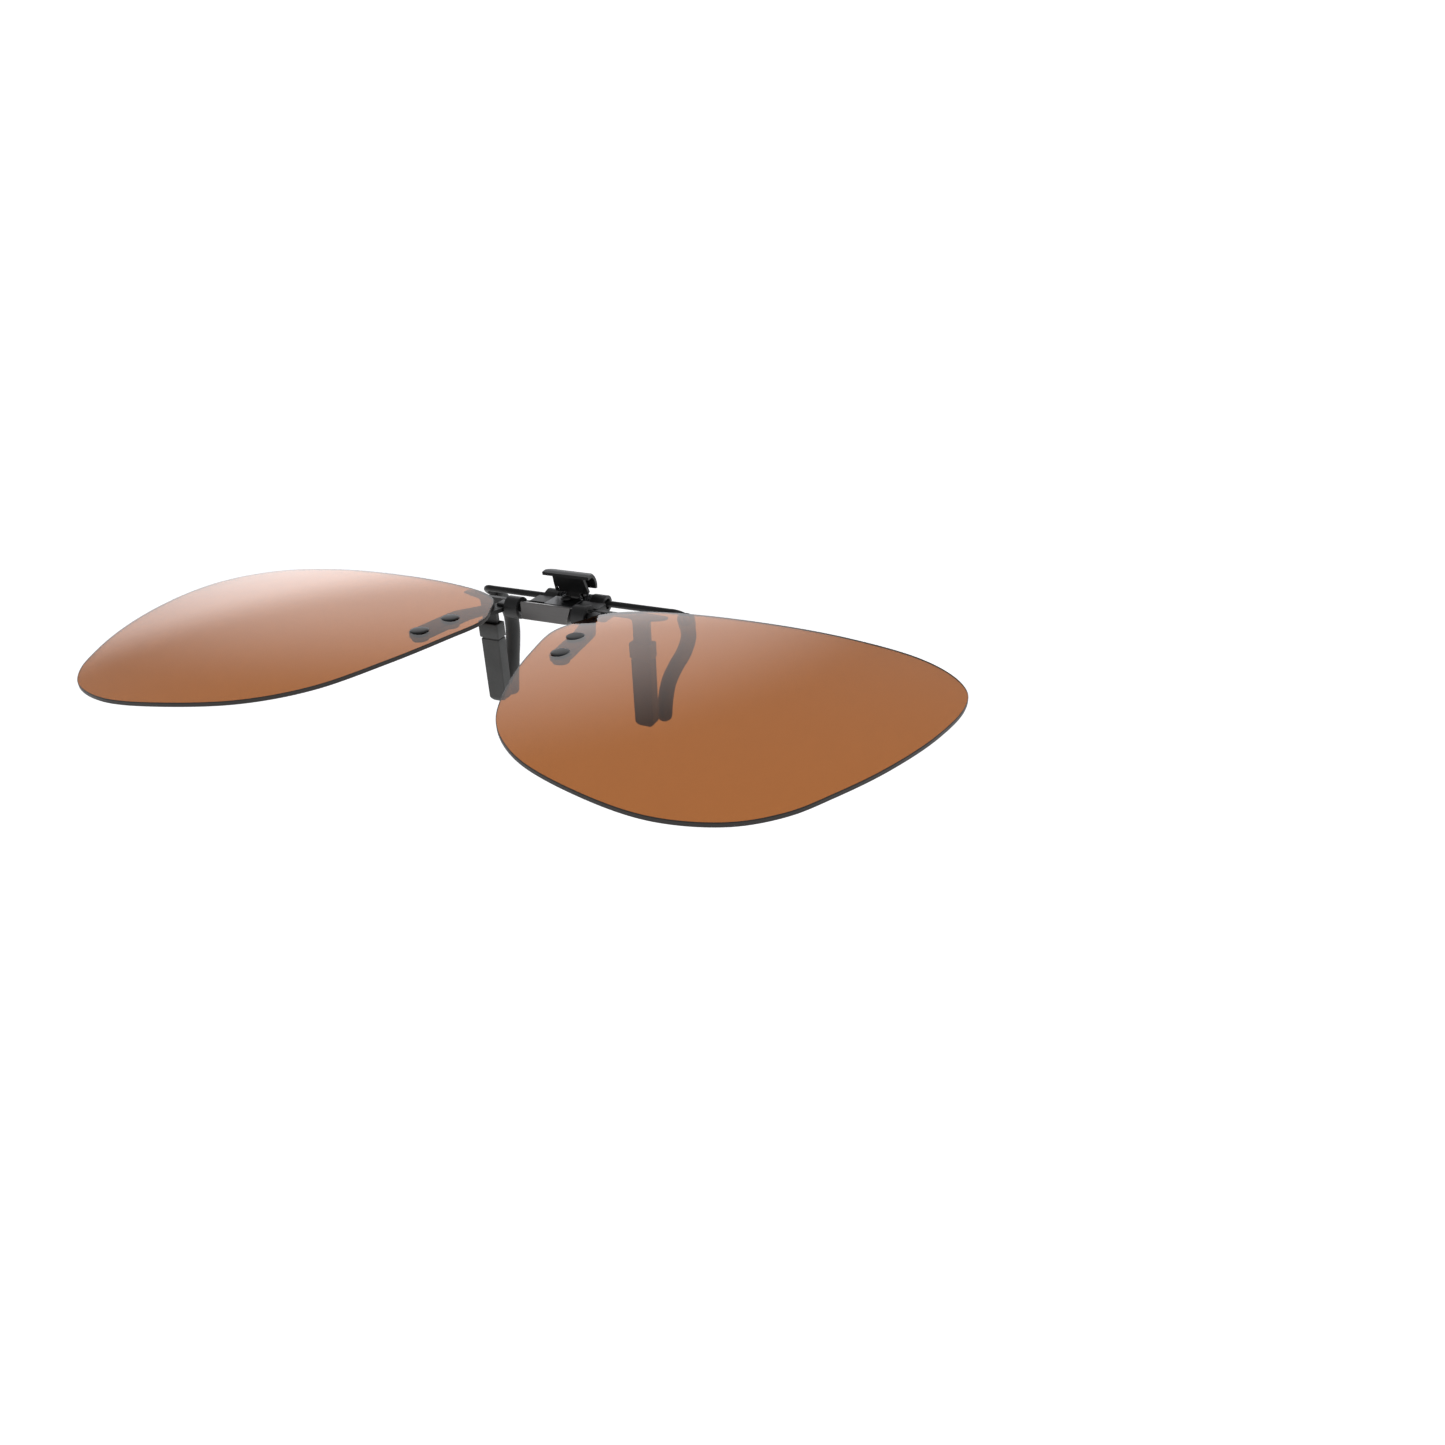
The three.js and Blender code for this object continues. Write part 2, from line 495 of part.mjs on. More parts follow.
function squeezeLever() {
  const top = LEVER_TOP_Z - WIRE_Z;
  const at = (points) => points.map(([y, z]) => [WIRE_Y + y, WIRE_Z + z * top]);
  const wide = LEVER_TOP_HALF;
  const web = alongX(sheetOutline(at([[-0.75, 0.14], [-1.3, 0.39], [-1.9, 0.70], [-2.3, 0.97]]), LEVER_SHEET),
    -wide, wide);
  const crown = alongX(sheetOutline(at([[-3.1, 1.0], [-2.1, 1.02], [-0.9, 0.97], [0.1, 0.80], [0.55, 0.58],
    [0.5, 0.44]]), LEVER_SHEET), -wide, wide);
  const foot = LEVER_FOOT_HALF;
  const neck = LEVER_BARREL_HALF;
  const z = (share) => WIRE_Z + share * top;
  const webFace = alongY(outline([[-neck, z(0)], [neck, z(0)], [neck, z(0.30)], [foot, z(0.37)],
    [0.66 * wide, z(0.99)], [-0.66 * wide, z(0.99)], [-foot, z(0.37)], [-neck, z(0.30)]]), WIRE_Y - 5, WIRE_Y + 3);
  const crownPlan = alongZ(outline([[-wide, WIRE_Y - 4.2], [wide, WIRE_Y - 4.2], [wide, WIRE_Y - 2.1],
    [0.79 * wide, WIRE_Y - 0.8], [0.79 * wide, WIRE_Y + 1.5], [-0.79 * wide, WIRE_Y + 1.5],
    [-0.79 * wide, WIRE_Y - 0.8], [-wide, WIRE_Y - 2.1]]), WIRE_Z, WIRE_Z + 2 * top);
  const barrel = rodX(LEVER_BARREL_RADIUS, -neck, neck, WIRE_Y, WIRE_Z, 16);
  const hole = new THREE.CylinderGeometry(LEVER_HOLE_RADIUS, LEVER_HOLE_RADIUS, 4, 12)
    .translate(-LEVER_FOOT_HALF + 0.5, WIRE_Y - 1.5, z(0.46));
  return cut(join(overlap(web, webFace), overlap(crown, crownPlan), barrel), hole,
    rodX(WIRE_RADIUS + SNUG, -neck - 1, neck + 1, WIRE_Y, WIRE_Z, 12));
}
add('squeeze_lever', squeezeLever(), 'blackMetal');

// ---------- torsion springs beside the lever ----------
/** Turns of fine wire round the axis, ending in a tail that rests on the deck. */
function torsionSpring() {
  const inner = LEVER_BARREL_HALF + FIT;
  const outer = KNUCKLE_INNER - FIT;
  const steps = 10 * SPRING_TURNS;
  const tailZ = DECK_TOP + SPRING_WIRE + 0.15;
  const points = [new THREE.Vector3(inner, WIRE_Y - 2.0, tailZ), new THREE.Vector3(inner, WIRE_Y - 1.4, tailZ)];
  for (let i = 0; i <= steps; i++) {
    const a = Math.PI * 0.9 + (2 * Math.PI * i) / 10;
    points.push(new THREE.Vector3(lerp(inner, outer, i / steps),
      WIRE_Y + SPRING_RADIUS * Math.cos(a), WIRE_Z + SPRING_RADIUS * Math.sin(a)));
  }
  return tube(smooth(points), SPRING_WIRE, 9 * SPRING_TURNS + 4, 6);
}
for (const [hand, side] of SIDES) add(`torsion_spring_${hand}`, sided(torsionSpring(), side), 'springSteel');

export default clip;
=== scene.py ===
"""Clip-on flip-up lenses: two brown tinted lenses hinged on a small sprung clip for spectacles.

Every piece is worked out in millimetres in the frame of the clip and becomes a mesh in metres.
+X runs along the lenses, -Y is forward, away from the wearer, and +Z is up along the front legs.
"""

import json
import logging
import math
from dataclasses import dataclass, field
from enum import Enum

import bmesh
import bpy
import numpy as np
from mathutils import Matrix, Vector


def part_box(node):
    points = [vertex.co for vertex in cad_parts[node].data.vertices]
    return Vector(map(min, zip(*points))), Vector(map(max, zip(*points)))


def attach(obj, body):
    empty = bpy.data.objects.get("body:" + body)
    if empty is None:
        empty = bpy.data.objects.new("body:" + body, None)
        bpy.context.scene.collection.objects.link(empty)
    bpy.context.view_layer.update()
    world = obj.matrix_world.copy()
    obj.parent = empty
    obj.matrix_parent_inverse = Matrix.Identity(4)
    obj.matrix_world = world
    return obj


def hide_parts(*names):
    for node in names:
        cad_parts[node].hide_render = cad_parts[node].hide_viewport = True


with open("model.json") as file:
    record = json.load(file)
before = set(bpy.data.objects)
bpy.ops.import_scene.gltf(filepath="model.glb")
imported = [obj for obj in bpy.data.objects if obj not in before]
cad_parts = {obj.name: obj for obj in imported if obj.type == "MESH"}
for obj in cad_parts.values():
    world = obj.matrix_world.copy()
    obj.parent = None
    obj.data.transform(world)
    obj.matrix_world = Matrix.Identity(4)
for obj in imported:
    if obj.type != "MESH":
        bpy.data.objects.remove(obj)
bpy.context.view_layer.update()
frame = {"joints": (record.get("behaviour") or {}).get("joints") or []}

LOG = logging.getLogger("clip")
MM = 0.001                       # metres in a millimetre


class Body(Enum):
    """The parts of the clip that move as one."""

    BASE = "clip_base"
    JAW = "rear_jaw"
    LENSES = "lens_unit"


class Side(Enum):
    """A side of the clip, with the sign of its X."""

    LEFT = -1
    RIGHT = 1

    @property
    def word(self) -> str:
        """The side's name in lower case."""
        return self.name.lower()


def joint_point(name: str) -> np.ndarray:
    """Gives a point on a joint's axis.

    Args:
        name: the joint's name in the record.

    Returns:
        The point's three coordinates in millimetres.
    """
    row = next(j for j in frame["joints"] if j["name"] == name)
    return np.array(row["pos_m"], float) / MM


FLIP = joint_point("lens_flip")
WIRE = joint_point("jaw_squeeze")
PAD_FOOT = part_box("front_sleeve_right")[0].z / MM
PAD_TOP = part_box("front_sleeve_right")[1].z / MM


# ---------- lines and outlines ----------
def spline(points: np.ndarray, closed: bool = False, per_span: int = 16) -> np.ndarray:
    """Draws a smooth line through points: a centripetal Catmull-Rom spline.

    Each span is a cubic whose end slopes come from its neighbours, weighted by the square roots
    of the distances between the points.

    Args:
        points: the points, one row each, in two or three dimensions.
        closed: whether the line runs back to its first point.
        per_span: points worked out between two given ones.

    Returns:
        The points of the line, one row each.
    """
    p = np.asarray(points, float)
    if closed:
        p = np.vstack([p[-1:], p, p[:2]])
    else:
        p = np.vstack([2 * p[:1] - p[1:2], p, 2 * p[-1:] - p[-2:-1]])
    a, b, c, d = p[:-3], p[1:-2], p[2:-1], p[3:]
    ab, bc, cd = (np.sqrt(np.linalg.norm(q, axis=1, keepdims=True)) for q in (b - a, c - b, d - c))
    out = ((b - a) / ab - (c - a) / (ab + bc) + (c - b) / bc) * bc
    into = ((c - b) / bc - (d - b) / (bc + cd) + (d - c) / cd) * bc
    t = np.arange(per_span)[None, :, None] / per_span
    b, c, out, into = (q[:, None, :] for q in (b, c, out, into))
    line = b + out * t + (3 * (c - b) - 2 * out - into) * t**2 + (2 * (b - c) + out + into) * t**3
    line = line.reshape(-1, p.shape[1])
    return line if closed else np.vstack([line, p[-2:-1]])


def evenly(line: np.ndarray, count: int, start: float = 0.0, end: float = 1.0) -> np.ndarray:
    """Picks points on a line at even distances along it.

    Args:
        line: the points of the line, one row each.
        count: how many points to pick.
        start: share of the length where they start.
        end: share of the length where they end.

    Returns:
        The picked points, one row each.
    """
    run = np.r_[0, np.cumsum(np.linalg.norm(np.diff(line, axis=0), axis=1))]
    at = np.linspace(start, end, count) * run[-1]
    return np.stack([np.interp(at, run, line[:, k]) for k in range(line.shape[1])], axis=1)


def softened(corners: np.ndarray, radius: float, steps: int = 5) -> np.ndarray:
    """Rounds the corners of a closed outline.

    A corner becomes the quadratic curve from one neighbouring side to the other, with the corner
    as its middle control point.

    Args:
        corners: the outline's corners, one row each.
        radius: how far from a corner its curve starts, less on short sides.
        steps: points on each curve.

    Returns:
        The rounded outline, one row for each point.
    """
    p = np.asarray(corners, float)
    sides = []
    for way in (1, -1):
        q = np.roll(p, way, axis=0) - p
        long = np.linalg.norm(q, axis=1, keepdims=True)
        sides.append(p + q / long * np.minimum(radius, 0.45 * long))
    t = np.linspace(0, 1, steps)[None, :, None]
    a, m, b = sides[0][:, None], p[:, None], sides[1][:, None]
    return ((1 - t) ** 2 * a + 2 * t * (1 - t) * m + t**2 * b).reshape(-1, p.shape[1])


def arc(centre: tuple[float, float], radius: float, start: float, end: float,
        count: int) -> np.ndarray:
    """Draws an arc of a circle.

    Args:
        centre: its middle.
        radius: its radius.
        start: angle of its first point, in degrees.
        end: angle of its last point, in degrees.
        count: how many points it has.

    Returns:
        The arc's points, one row each: the middle plus the radius times cosine and sine.
    """
    a = np.radians(np.linspace(start, end, count))
    return np.stack([centre[0] + radius * np.cos(a), centre[1] + radius * np.sin(a)], axis=1)


def rounded_box(x: np.ndarray, low: np.ndarray, high: np.ndarray, corner: np.ndarray,
                count: int = 64) -> np.ndarray:
    """Works out rounded rectangles, one for each row, centred on x = 0.

    The corners' centres lie one corner radius inside the sides, and a point of the section is a
    corner's centre plus the radius times cosine and sine of its angle.

    Args:
        x: half widths.
        low: lower sides.
        high: upper sides.
        corner: corner radii.
        count: points round each section, a multiple of 4.

    Returns:
        An array of rows by count by 2.
    """
    quarter = count // 4
    a = (np.arange(count) // quarter + np.tile(np.linspace(0, 1, quarter), 4)) * math.pi / 2
    x, low, high, corner = (np.asarray(v, float)[:, None] for v in (x, low, high, corner))
    right = np.isin(np.arange(count) // quarter, (0, 3))
    upper = np.isin(np.arange(count) // quarter, (0, 1))
    cx = np.where(right, x - corner, corner - x)
    cy = np.where(upper, high - corner, low + corner)
    return np.stack([cx + corner * np.cos(a), cy + corner * np.sin(a)], axis=2)


def carried(path: np.ndarray, section: np.ndarray, across: tuple[float, float, float]) -> np.ndarray:
    """Carries a section along a path.

    At each point of the path the section lies in the plane of two unit vectors: the cross product
    of the path's direction with a fixed one, and the cross product of that with the direction.

    Args:
        path: points of the path, one row each.
        section: points of the section, the same all along or one set for each point of the path.
        across: the fixed direction, which the path never follows.

    Returns:
        A grid of points, path by section by 3.
    """
    along = np.gradient(path, axis=0)
    along /= np.linalg.norm(along, axis=1, keepdims=True)
    first = np.cross(along, np.array(across, float))
    first /= np.linalg.norm(first, axis=1, keepdims=True)
    second = np.cross(first, along)
    section = np.broadcast_to(section, (len(path), *np.shape(section)[-2:]))
    return path[:, None] + section[..., :1] * first[:, None] + section[..., 1:] * second[:, None]


def circle(radius: float, count: int = 24) -> np.ndarray:
    """Gives a circle's points about the origin, one row each."""
    return arc((0, 0), radius, 0, 360, count + 1)[:-1]


# ---------- meshes ----------
@dataclass
class Skin:
    """Surfaces of one piece, gathered in millimetres until they become its mesh."""

    points: list[np.ndarray] = field(default_factory=list)
    faces: list[tuple[int, ...]] = field(default_factory=list)
    slots: list[int] = field(default_factory=list)

    def grid(self, rows: np.ndarray, ring: bool = False,
             slots: np.ndarray | None = None) -> "Skin":
        """Adds a closed surface from rows of points, each row joined to the next and to itself.

        Args:
            rows: rows by columns by 3. The columns always run round.
            ring: whether the last row joins the first. Otherwise both end rows are capped.
            slots: material slot of each band of faces between two rows.

        Returns:
            This skin.
        """
        count, wide = rows.shape[:2]
        first = sum(len(p) for p in self.points)
        bands = count if ring else count - 1
        i, j = np.meshgrid(np.arange(bands), np.arange(wide), indexing="ij")
        around = ((0, 0), (0, 1), (1, 1), (1, 0))
        corner = [first + (i + a) % count * wide + (j + b) % wide for a, b in around]
        quads = np.stack(corner, axis=2).reshape(-1, 4)
        self.points.append(rows.reshape(-1, 3))
        self.faces += [tuple(q) for q in quads.tolist()]
        bands_of = np.zeros(bands, int) if slots is None else np.asarray(slots)
        self.slots += np.repeat(bands_of, wide).tolist()
        if not ring:
            self.faces += [tuple(range(first + wide - 1, first - 1, -1))]
            self.faces += [tuple(range(first + (count - 1) * wide, first + count * wide))]
            self.slots += [0, 0]
        return self

    def tube(self, path: np.ndarray, section: np.ndarray,
             across: tuple[float, float, float] = (0, 1, 0)) -> "Skin":
        """Adds a section carried along a path, capped at both ends, and returns this skin."""
        return self.grid(carried(path, section, across))

    def strap(self, line: np.ndarray, thick: float, x0: float, x1: float) -> "Skin":
        """Adds sheet metal of even thickness along a bent line in (y, z), from x0 to x1.

        The outline is the line moved half the thickness to each side along its own normal.

        Args:
            line: points of the sheet's middle line, one row each.
            thick: the sheet's thickness.
            x0: where the sheet starts.
            x1: where it ends.

        Returns:
            This skin.
        """
        along = np.gradient(line, axis=0)
        along /= np.linalg.norm(along, axis=1, keepdims=True)
        normal = along[:, ::-1] * [-1, 1] * thick / 2
        outline = np.vstack([line + normal, (line - normal)[::-1]])
        return self.prism(outline, x0, x1, (1, 2, 0))

    def prism(self, outline: np.ndarray, low: float, high: float,
              axes: tuple[int, int, int]) -> "Skin":
        """Adds a flat outline given thickness, and returns this skin.

        Args:
            outline: points of the outline, one row each.
            low: where it starts along the third axis.
            high: where it ends.
            axes: which coordinates the outline's two columns and the thickness are.

        Returns:
            This skin.
        """
        rows = np.zeros((2, len(outline), 3))
        rows[..., axes[0]] = outline[:, 0]
        rows[..., axes[1]] = outline[:, 1]
        rows[..., axes[2]] = np.array([[low], [high]])
        return self.grid(rows)

    def turned(self, profile: np.ndarray, foot: tuple[float, float, float], ring: bool = False,
               axis: int = 2, count: int = 40) -> "Skin":
        """Adds a profile of (radius, height) turned round an axis, and returns this skin.

        Args:
            profile: radii and heights, one row each.
            foot: the point that heights and radii count from.
            ring: whether the profile is closed, as on a washer.
            axis: the axis that heights run along.
            count: points round it.

        Returns:
            This skin.
        """
        round_ = circle(1.0, count)
        rows = np.zeros((len(profile), count, 3))
        rows[..., (axis + 1) % 3] = profile[:, :1] * round_[:, 0]
        rows[..., (axis + 2) % 3] = profile[:, :1] * round_[:, 1]
        rows[..., axis] = profile[:, 1:]
        return self.grid(rows + np.array(foot), ring)

    def mesh(self, name: str, side: Side, sharp: float) -> bpy.types.Mesh:
        """Turns the gathered surfaces into a mesh in metres, facing outwards.

        Args:
            name: the mesh's name.
            side: the side it is for. The left is the right mirrored.
            sharp: angle in degrees above which an edge isn't shaded smooth.

        Returns:
            The mesh.
        """
        points = np.vstack(self.points) * MM * [side.value, 1, 1]
        mesh = bpy.data.meshes.new(name)
        mesh.from_pydata(points.tolist(), [], self.faces)
        mesh.polygons.foreach_set("material_index", np.array(self.slots, np.int32))
        mesh.polygons.foreach_set("use_smooth", np.ones(len(self.faces), bool))
        shape = bmesh.new()
        shape.from_mesh(mesh)
        bmesh.ops.recalc_face_normals(shape, faces=shape.faces)
        shape.to_mesh(mesh)
        shape.free()
        mesh.set_sharp_from_angle(angle=math.radians(sharp))
        return mesh


# ---------- finishes ----------
def linear(colour: str) -> tuple[float, float, float, float]:
    """Turns an sRGB hex colour into linear red, green and blue, with full alpha."""
    parts = [int(colour[k:k + 2], 16) / 255 for k in (1, 3, 5)]
    return (*(c / 12.92 if c <= 0.04045 else ((c + 0.055) / 1.055) ** 2.4 for c in parts), 1.0)


def add_node(tree: bpy.types.NodeTree, kind: str, inputs: dict | None = None,
             **settings: object) -> bpy.types.Node:
    """Adds a node with its settings, values and links.

    Args:
        tree: the node tree.
        kind: the node's type.
        inputs: for a socket's name or number, its value, or the socket that it is linked from.
        settings: the node's own properties.

    Returns:
        The node.
    """
    node = tree.nodes.new(kind)
    for name, value in settings.items():
        setattr(node, name, value)
    for key, value in (inputs or {}).items():
        if isinstance(value, bpy.types.NodeSocket):
            tree.links.new(value, node.inputs[key])
        else:
            node.inputs[key].default_value = value
    return node


MIX_A, MIX_B, MIX_OUT = 6, 7, 2  # colour sockets of a Mix node


@dataclass(frozen=True)
class Finish:
    """A finish with a fine grain that shades its colour, its gloss and its relief.

    The grain is noise on Object coordinates, stretched along X by stretch.
    """

    name: str
    slot: str
    colour: str
    shade: str
    roughness: float
    rougher: float
    grain: float                 # millimetres from one grain to the next
    relief: float                # millimetres from the lowest to the highest
    metallic: float = 0.0
    stretch: float = 1.0
    sockets: tuple[tuple[str, float], ...] = ()

    def material(self) -> bpy.types.Material:
        """Makes the material the first time, and finds it again after that."""
        made = bpy.data.materials.get(self.name)
        return made if made else self.make()

    def make(self) -> bpy.types.Material:
        """Builds the node tree: coordinates, noise, then colour, roughness and bump.

        Returns:
            The new material.
        """
        material = bpy.data.materials.new(self.name)
        material.use_nodes = True
        tree = material.node_tree
        tree.nodes.clear()
        place = add_node(tree, "ShaderNodeTexCoord")
        spread = add_node(tree, "ShaderNodeMapping", {
            "Vector": place.outputs["Object"],
            "Scale": (1 / self.stretch, 1.0, 1.0),
        })
        fine = add_node(tree, "ShaderNodeTexNoise", {
            "Vector": spread.outputs["Vector"],
            "Scale": 1 / (self.grain * MM),
            "Detail": 3.0,
            "Roughness": 0.55,
        })
        broad = add_node(tree, "ShaderNodeTexNoise", {
            "Vector": place.outputs["Object"],
            "Scale": 1 / (9 * self.grain * MM),
            "Detail": 2.0,
        })
        both = add_node(tree, "ShaderNodeMix", {
            0: 0.5,
            2: fine.outputs["Fac"],
            3: broad.outputs["Fac"],
        }, data_type="FLOAT")
        tint = add_node(tree, "ShaderNodeMix", {
            0: both.outputs[0],
            MIX_A: linear(self.colour),
            MIX_B: linear(self.shade),
        }, data_type="RGBA")
        gloss = add_node(tree, "ShaderNodeMapRange", {
            "Value": both.outputs[0],
            "From Min": 0.3,
            "From Max": 0.7,
            "To Min": self.roughness,
            "To Max": self.rougher,
        })
        bump = add_node(tree, "ShaderNodeBump", {
            "Strength": 1.0,
            "Distance": self.relief * MM,
            "Height": fine.outputs["Fac"],
        })
        shader = add_node(tree, "ShaderNodeBsdfPrincipled", {
            "Base Color": tint.outputs[MIX_OUT],
            "Metallic": self.metallic,
            "Roughness": gloss.outputs["Result"],
            "Normal": bump.outputs["Normal"],
            **dict(self.sockets),
        })
        add_node(tree, "ShaderNodeOutputMaterial", {"Surface": shader.outputs["BSDF"]})
        return material


# Cast brown polarising lens with an anti-reflection coat: clear, saturated brown to look through,
# with a sharp colourless reflection that the coat's low index keeps faint.
TINTED_LENS = Finish(
    "brown_polarising_lens", "tinted_lens", "#a26433", "#9e6031", 0.0, 0.02, 6.0, 0.0,
    sockets=(("Transmission Weight", 1.0), ("IOR", 1.38)))
# The same lens at its ground edge: almost black brown, because the eye looks along the tint.
LENS_EDGE = Finish(
    "ground_lens_edge", "tinted_lens", "#34302d", "#292624", 0.4, 0.55, 0.4, 0.004,
    sockets=(("Specular IOR Level", 0.3),))
# Black plating over tumbled steel: deep black with a soft gloss on the rounded edges.
BLACK_PLATING = Finish(
    "black_plated_steel", "black_plated_steel", "#101011", "#1a1a1b", 0.3, 0.46, 0.35, 0.003,
    sockets=(("Specular IOR Level", 0.18),))
# Grey plating over brushed steel: an even satin grey with a faint grain along its length.
SATIN_PLATING = Finish(
    "satin_grey_plated_steel", "satin_steel", "#747270", "#6b6968", 0.34, 0.46, 0.25, 0.002,
    metallic=0.9, stretch=12.0)
# Tempered spring strip and wire, oiled: dull mid grey metal with fine drawing lines.
SPRING_STEEL = Finish(
    "oiled_spring_steel", "spring_steel", "#4c4d4f", "#3e3f41", 0.28, 0.42, 0.3, 0.001,
    metallic=1.0, stretch=8.0)
# Moulded silicone rubber, eroded mould: matt dark grey with a fine even grain.
SILICONE = Finish(
    "dark_grey_silicone", "silicone", "#3a3b3a", "#333433", 0.55, 0.7, 0.3, 0.006,
    sockets=(("Sheen Weight", 0.08), ("Sheen Roughness", 0.5)))


# ---------- sub-assemblies ----------
@dataclass
class SubAssembly:
    """Pieces that ride on one body of the clip."""

    body: Body = Body.BASE

    def place(self, skin: Skin, name: str, finishes: list[Finish], side: Side = Side.RIGHT,
              nodes: tuple[str, ...] = (), round_off: float = 0.0, sharp: float = 35.0) -> bpy.types.Object:
        """Makes a piece of a skin, dresses it and sets it on its body.

        Args:
            skin: the piece's surfaces.
            name: the piece's name.
            finishes: one finish for each material slot.
            side: the side it is for.
            nodes: CAD nodes that it stands for, or none for the node of the same name.
            round_off: width in millimetres of the rounding on its edges, or 0.
            sharp: angle in degrees above which an edge isn't shaded smooth.

        Returns:
            The piece's object.
        """
        piece = bpy.data.objects.new(name + "_piece", skin.mesh(name, side, sharp))
        bpy.context.scene.collection.objects.link(piece)
        for finish in finishes:
            piece.data.materials.append(finish.material())
        if round_off:
            bevel = piece.modifiers.new("rounding", "BEVEL")
            bevel.width = round_off * MM
            bevel.segments = 2
            bevel.limit_method = "ANGLE"
            bevel.angle_limit = math.radians(35)
            bevel.harden_normals = True
        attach(piece, self.body.value)
        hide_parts(*(nodes or (name,)))
        LOG.info("%s: %d faces on %s", piece.name, len(piece.data.polygons), self.body.value)
        return piece


@dataclass
class LensShape:
    """The shape of a raised lens, in millimetres: a shallow dome on a tilted plane."""

    width: float = 56.0
    height: float = 44.0
    thick: float = 0.6
    radius: float = 230.0
    inner: float = 5.8           # mid-plane to the innermost point
    top: float = -2.4            # top edge, forward of the datum
    tilt: float = 2.6            # degrees that the lens falls towards its bottom edge
    wrap: float = 1.1            # degrees that it falls towards its outer end
    outline: tuple[tuple[float, float], ...] = (
        (0.03, 0.10), (0.00, 0.20), (0.018, 0.36), (0.06, 0.56), (0.135, 0.77), (0.245, 0.897),
        (0.41, 0.975), (0.57, 0.998), (0.70, 0.952), (0.785, 0.868), (0.845, 0.76), (0.91, 0.61),
        (0.97, 0.41), (1.00, 0.21), (0.99, 0.10), (0.945, 0.02), (0.86, -0.04), (0.68, -0.068),
        (0.44, -0.062), (0.22, -0.042), (0.11, -0.012), (0.06, 0.03))
    datum: tuple[float, float] = (FLIP[1] - 1.5, FLIP[2] + 2.15)

    def rise(self, u: np.ndarray, v: np.ndarray) -> np.ndarray:
        """Height of the outer face over the datum: minus the squared distance from the middle over
        twice the radius, less the falls of the wrap and the tilt."""
        mu = self.inner + 0.43 * self.width
        mv = self.top + 0.45 * self.height
        dome = -((u - mu) ** 2 + (v - mv) ** 2) / (2 * self.radius)
        outward, forward = (math.tan(math.radians(a)) for a in (self.wrap, self.tilt))
        return dome - outward * (u - mu) - forward * v

    def at(self, u: np.ndarray, v: np.ndarray, drop: np.ndarray | float) -> np.ndarray:
        """Points of the lens in the clip's frame.

        Args:
            u: distances from the mid-plane.
            v: distances forward of the datum.
            drop: depths below the outer face.

        Returns:
            An array with 3 in its last axis.
        """
        u, v, drop = np.broadcast_arrays(u, v, drop)
        return np.stack([u, self.datum[0] - v, self.datum[1] + self.rise(u, v) - drop], axis=-1)


@dataclass
class Rivets:
    """The two rivets of a lens, in millimetres, with the bracket that they hold under it."""

    places: tuple[tuple[float, float], ...] = ((10.2, 8.1), (11.2, 13.6))
    head: float = 1.3            # radius
    head_tall: float = 0.24
    shank: float = 0.55          # radius
    washer: float = 1.15         # radius
    washer_tall: float = 0.35
    washer_play: float = 0.2     # bore over shank
    bevel: float = 0.05          # on the washer's edges
    sink: float = 0.06           # how deep the head's rim sits in the lens
    tail: float = 0.15           # shank past the washer
    seat_gap: float = 0.03       # lens to bracket, and bracket to washer
    sheet: float = 0.6           # the bracket's thickness

    def bracket_top(self, lens: LensShape, u: np.ndarray, v: np.ndarray) -> np.ndarray:
        """Height of the bracket's upper face, which follows the underside of the lens.

        Args:
            lens: the lens that the bracket carries.
            u: distances from the mid-plane.
            v: distances forward of the datum.

        Returns:
            The heights in the clip's frame.
        """
        return lens.datum[1] + lens.rise(u, v) - lens.thick - self.seat_gap

    def foot(self, lens: LensShape, u: float, v: float) -> float:
        """Height of a washer's upper face, just clear of the bracket."""
        lowest = float(self.bracket_top(lens, u - self.washer, v + self.washer))
        return lowest - self.sheet - self.seat_gap


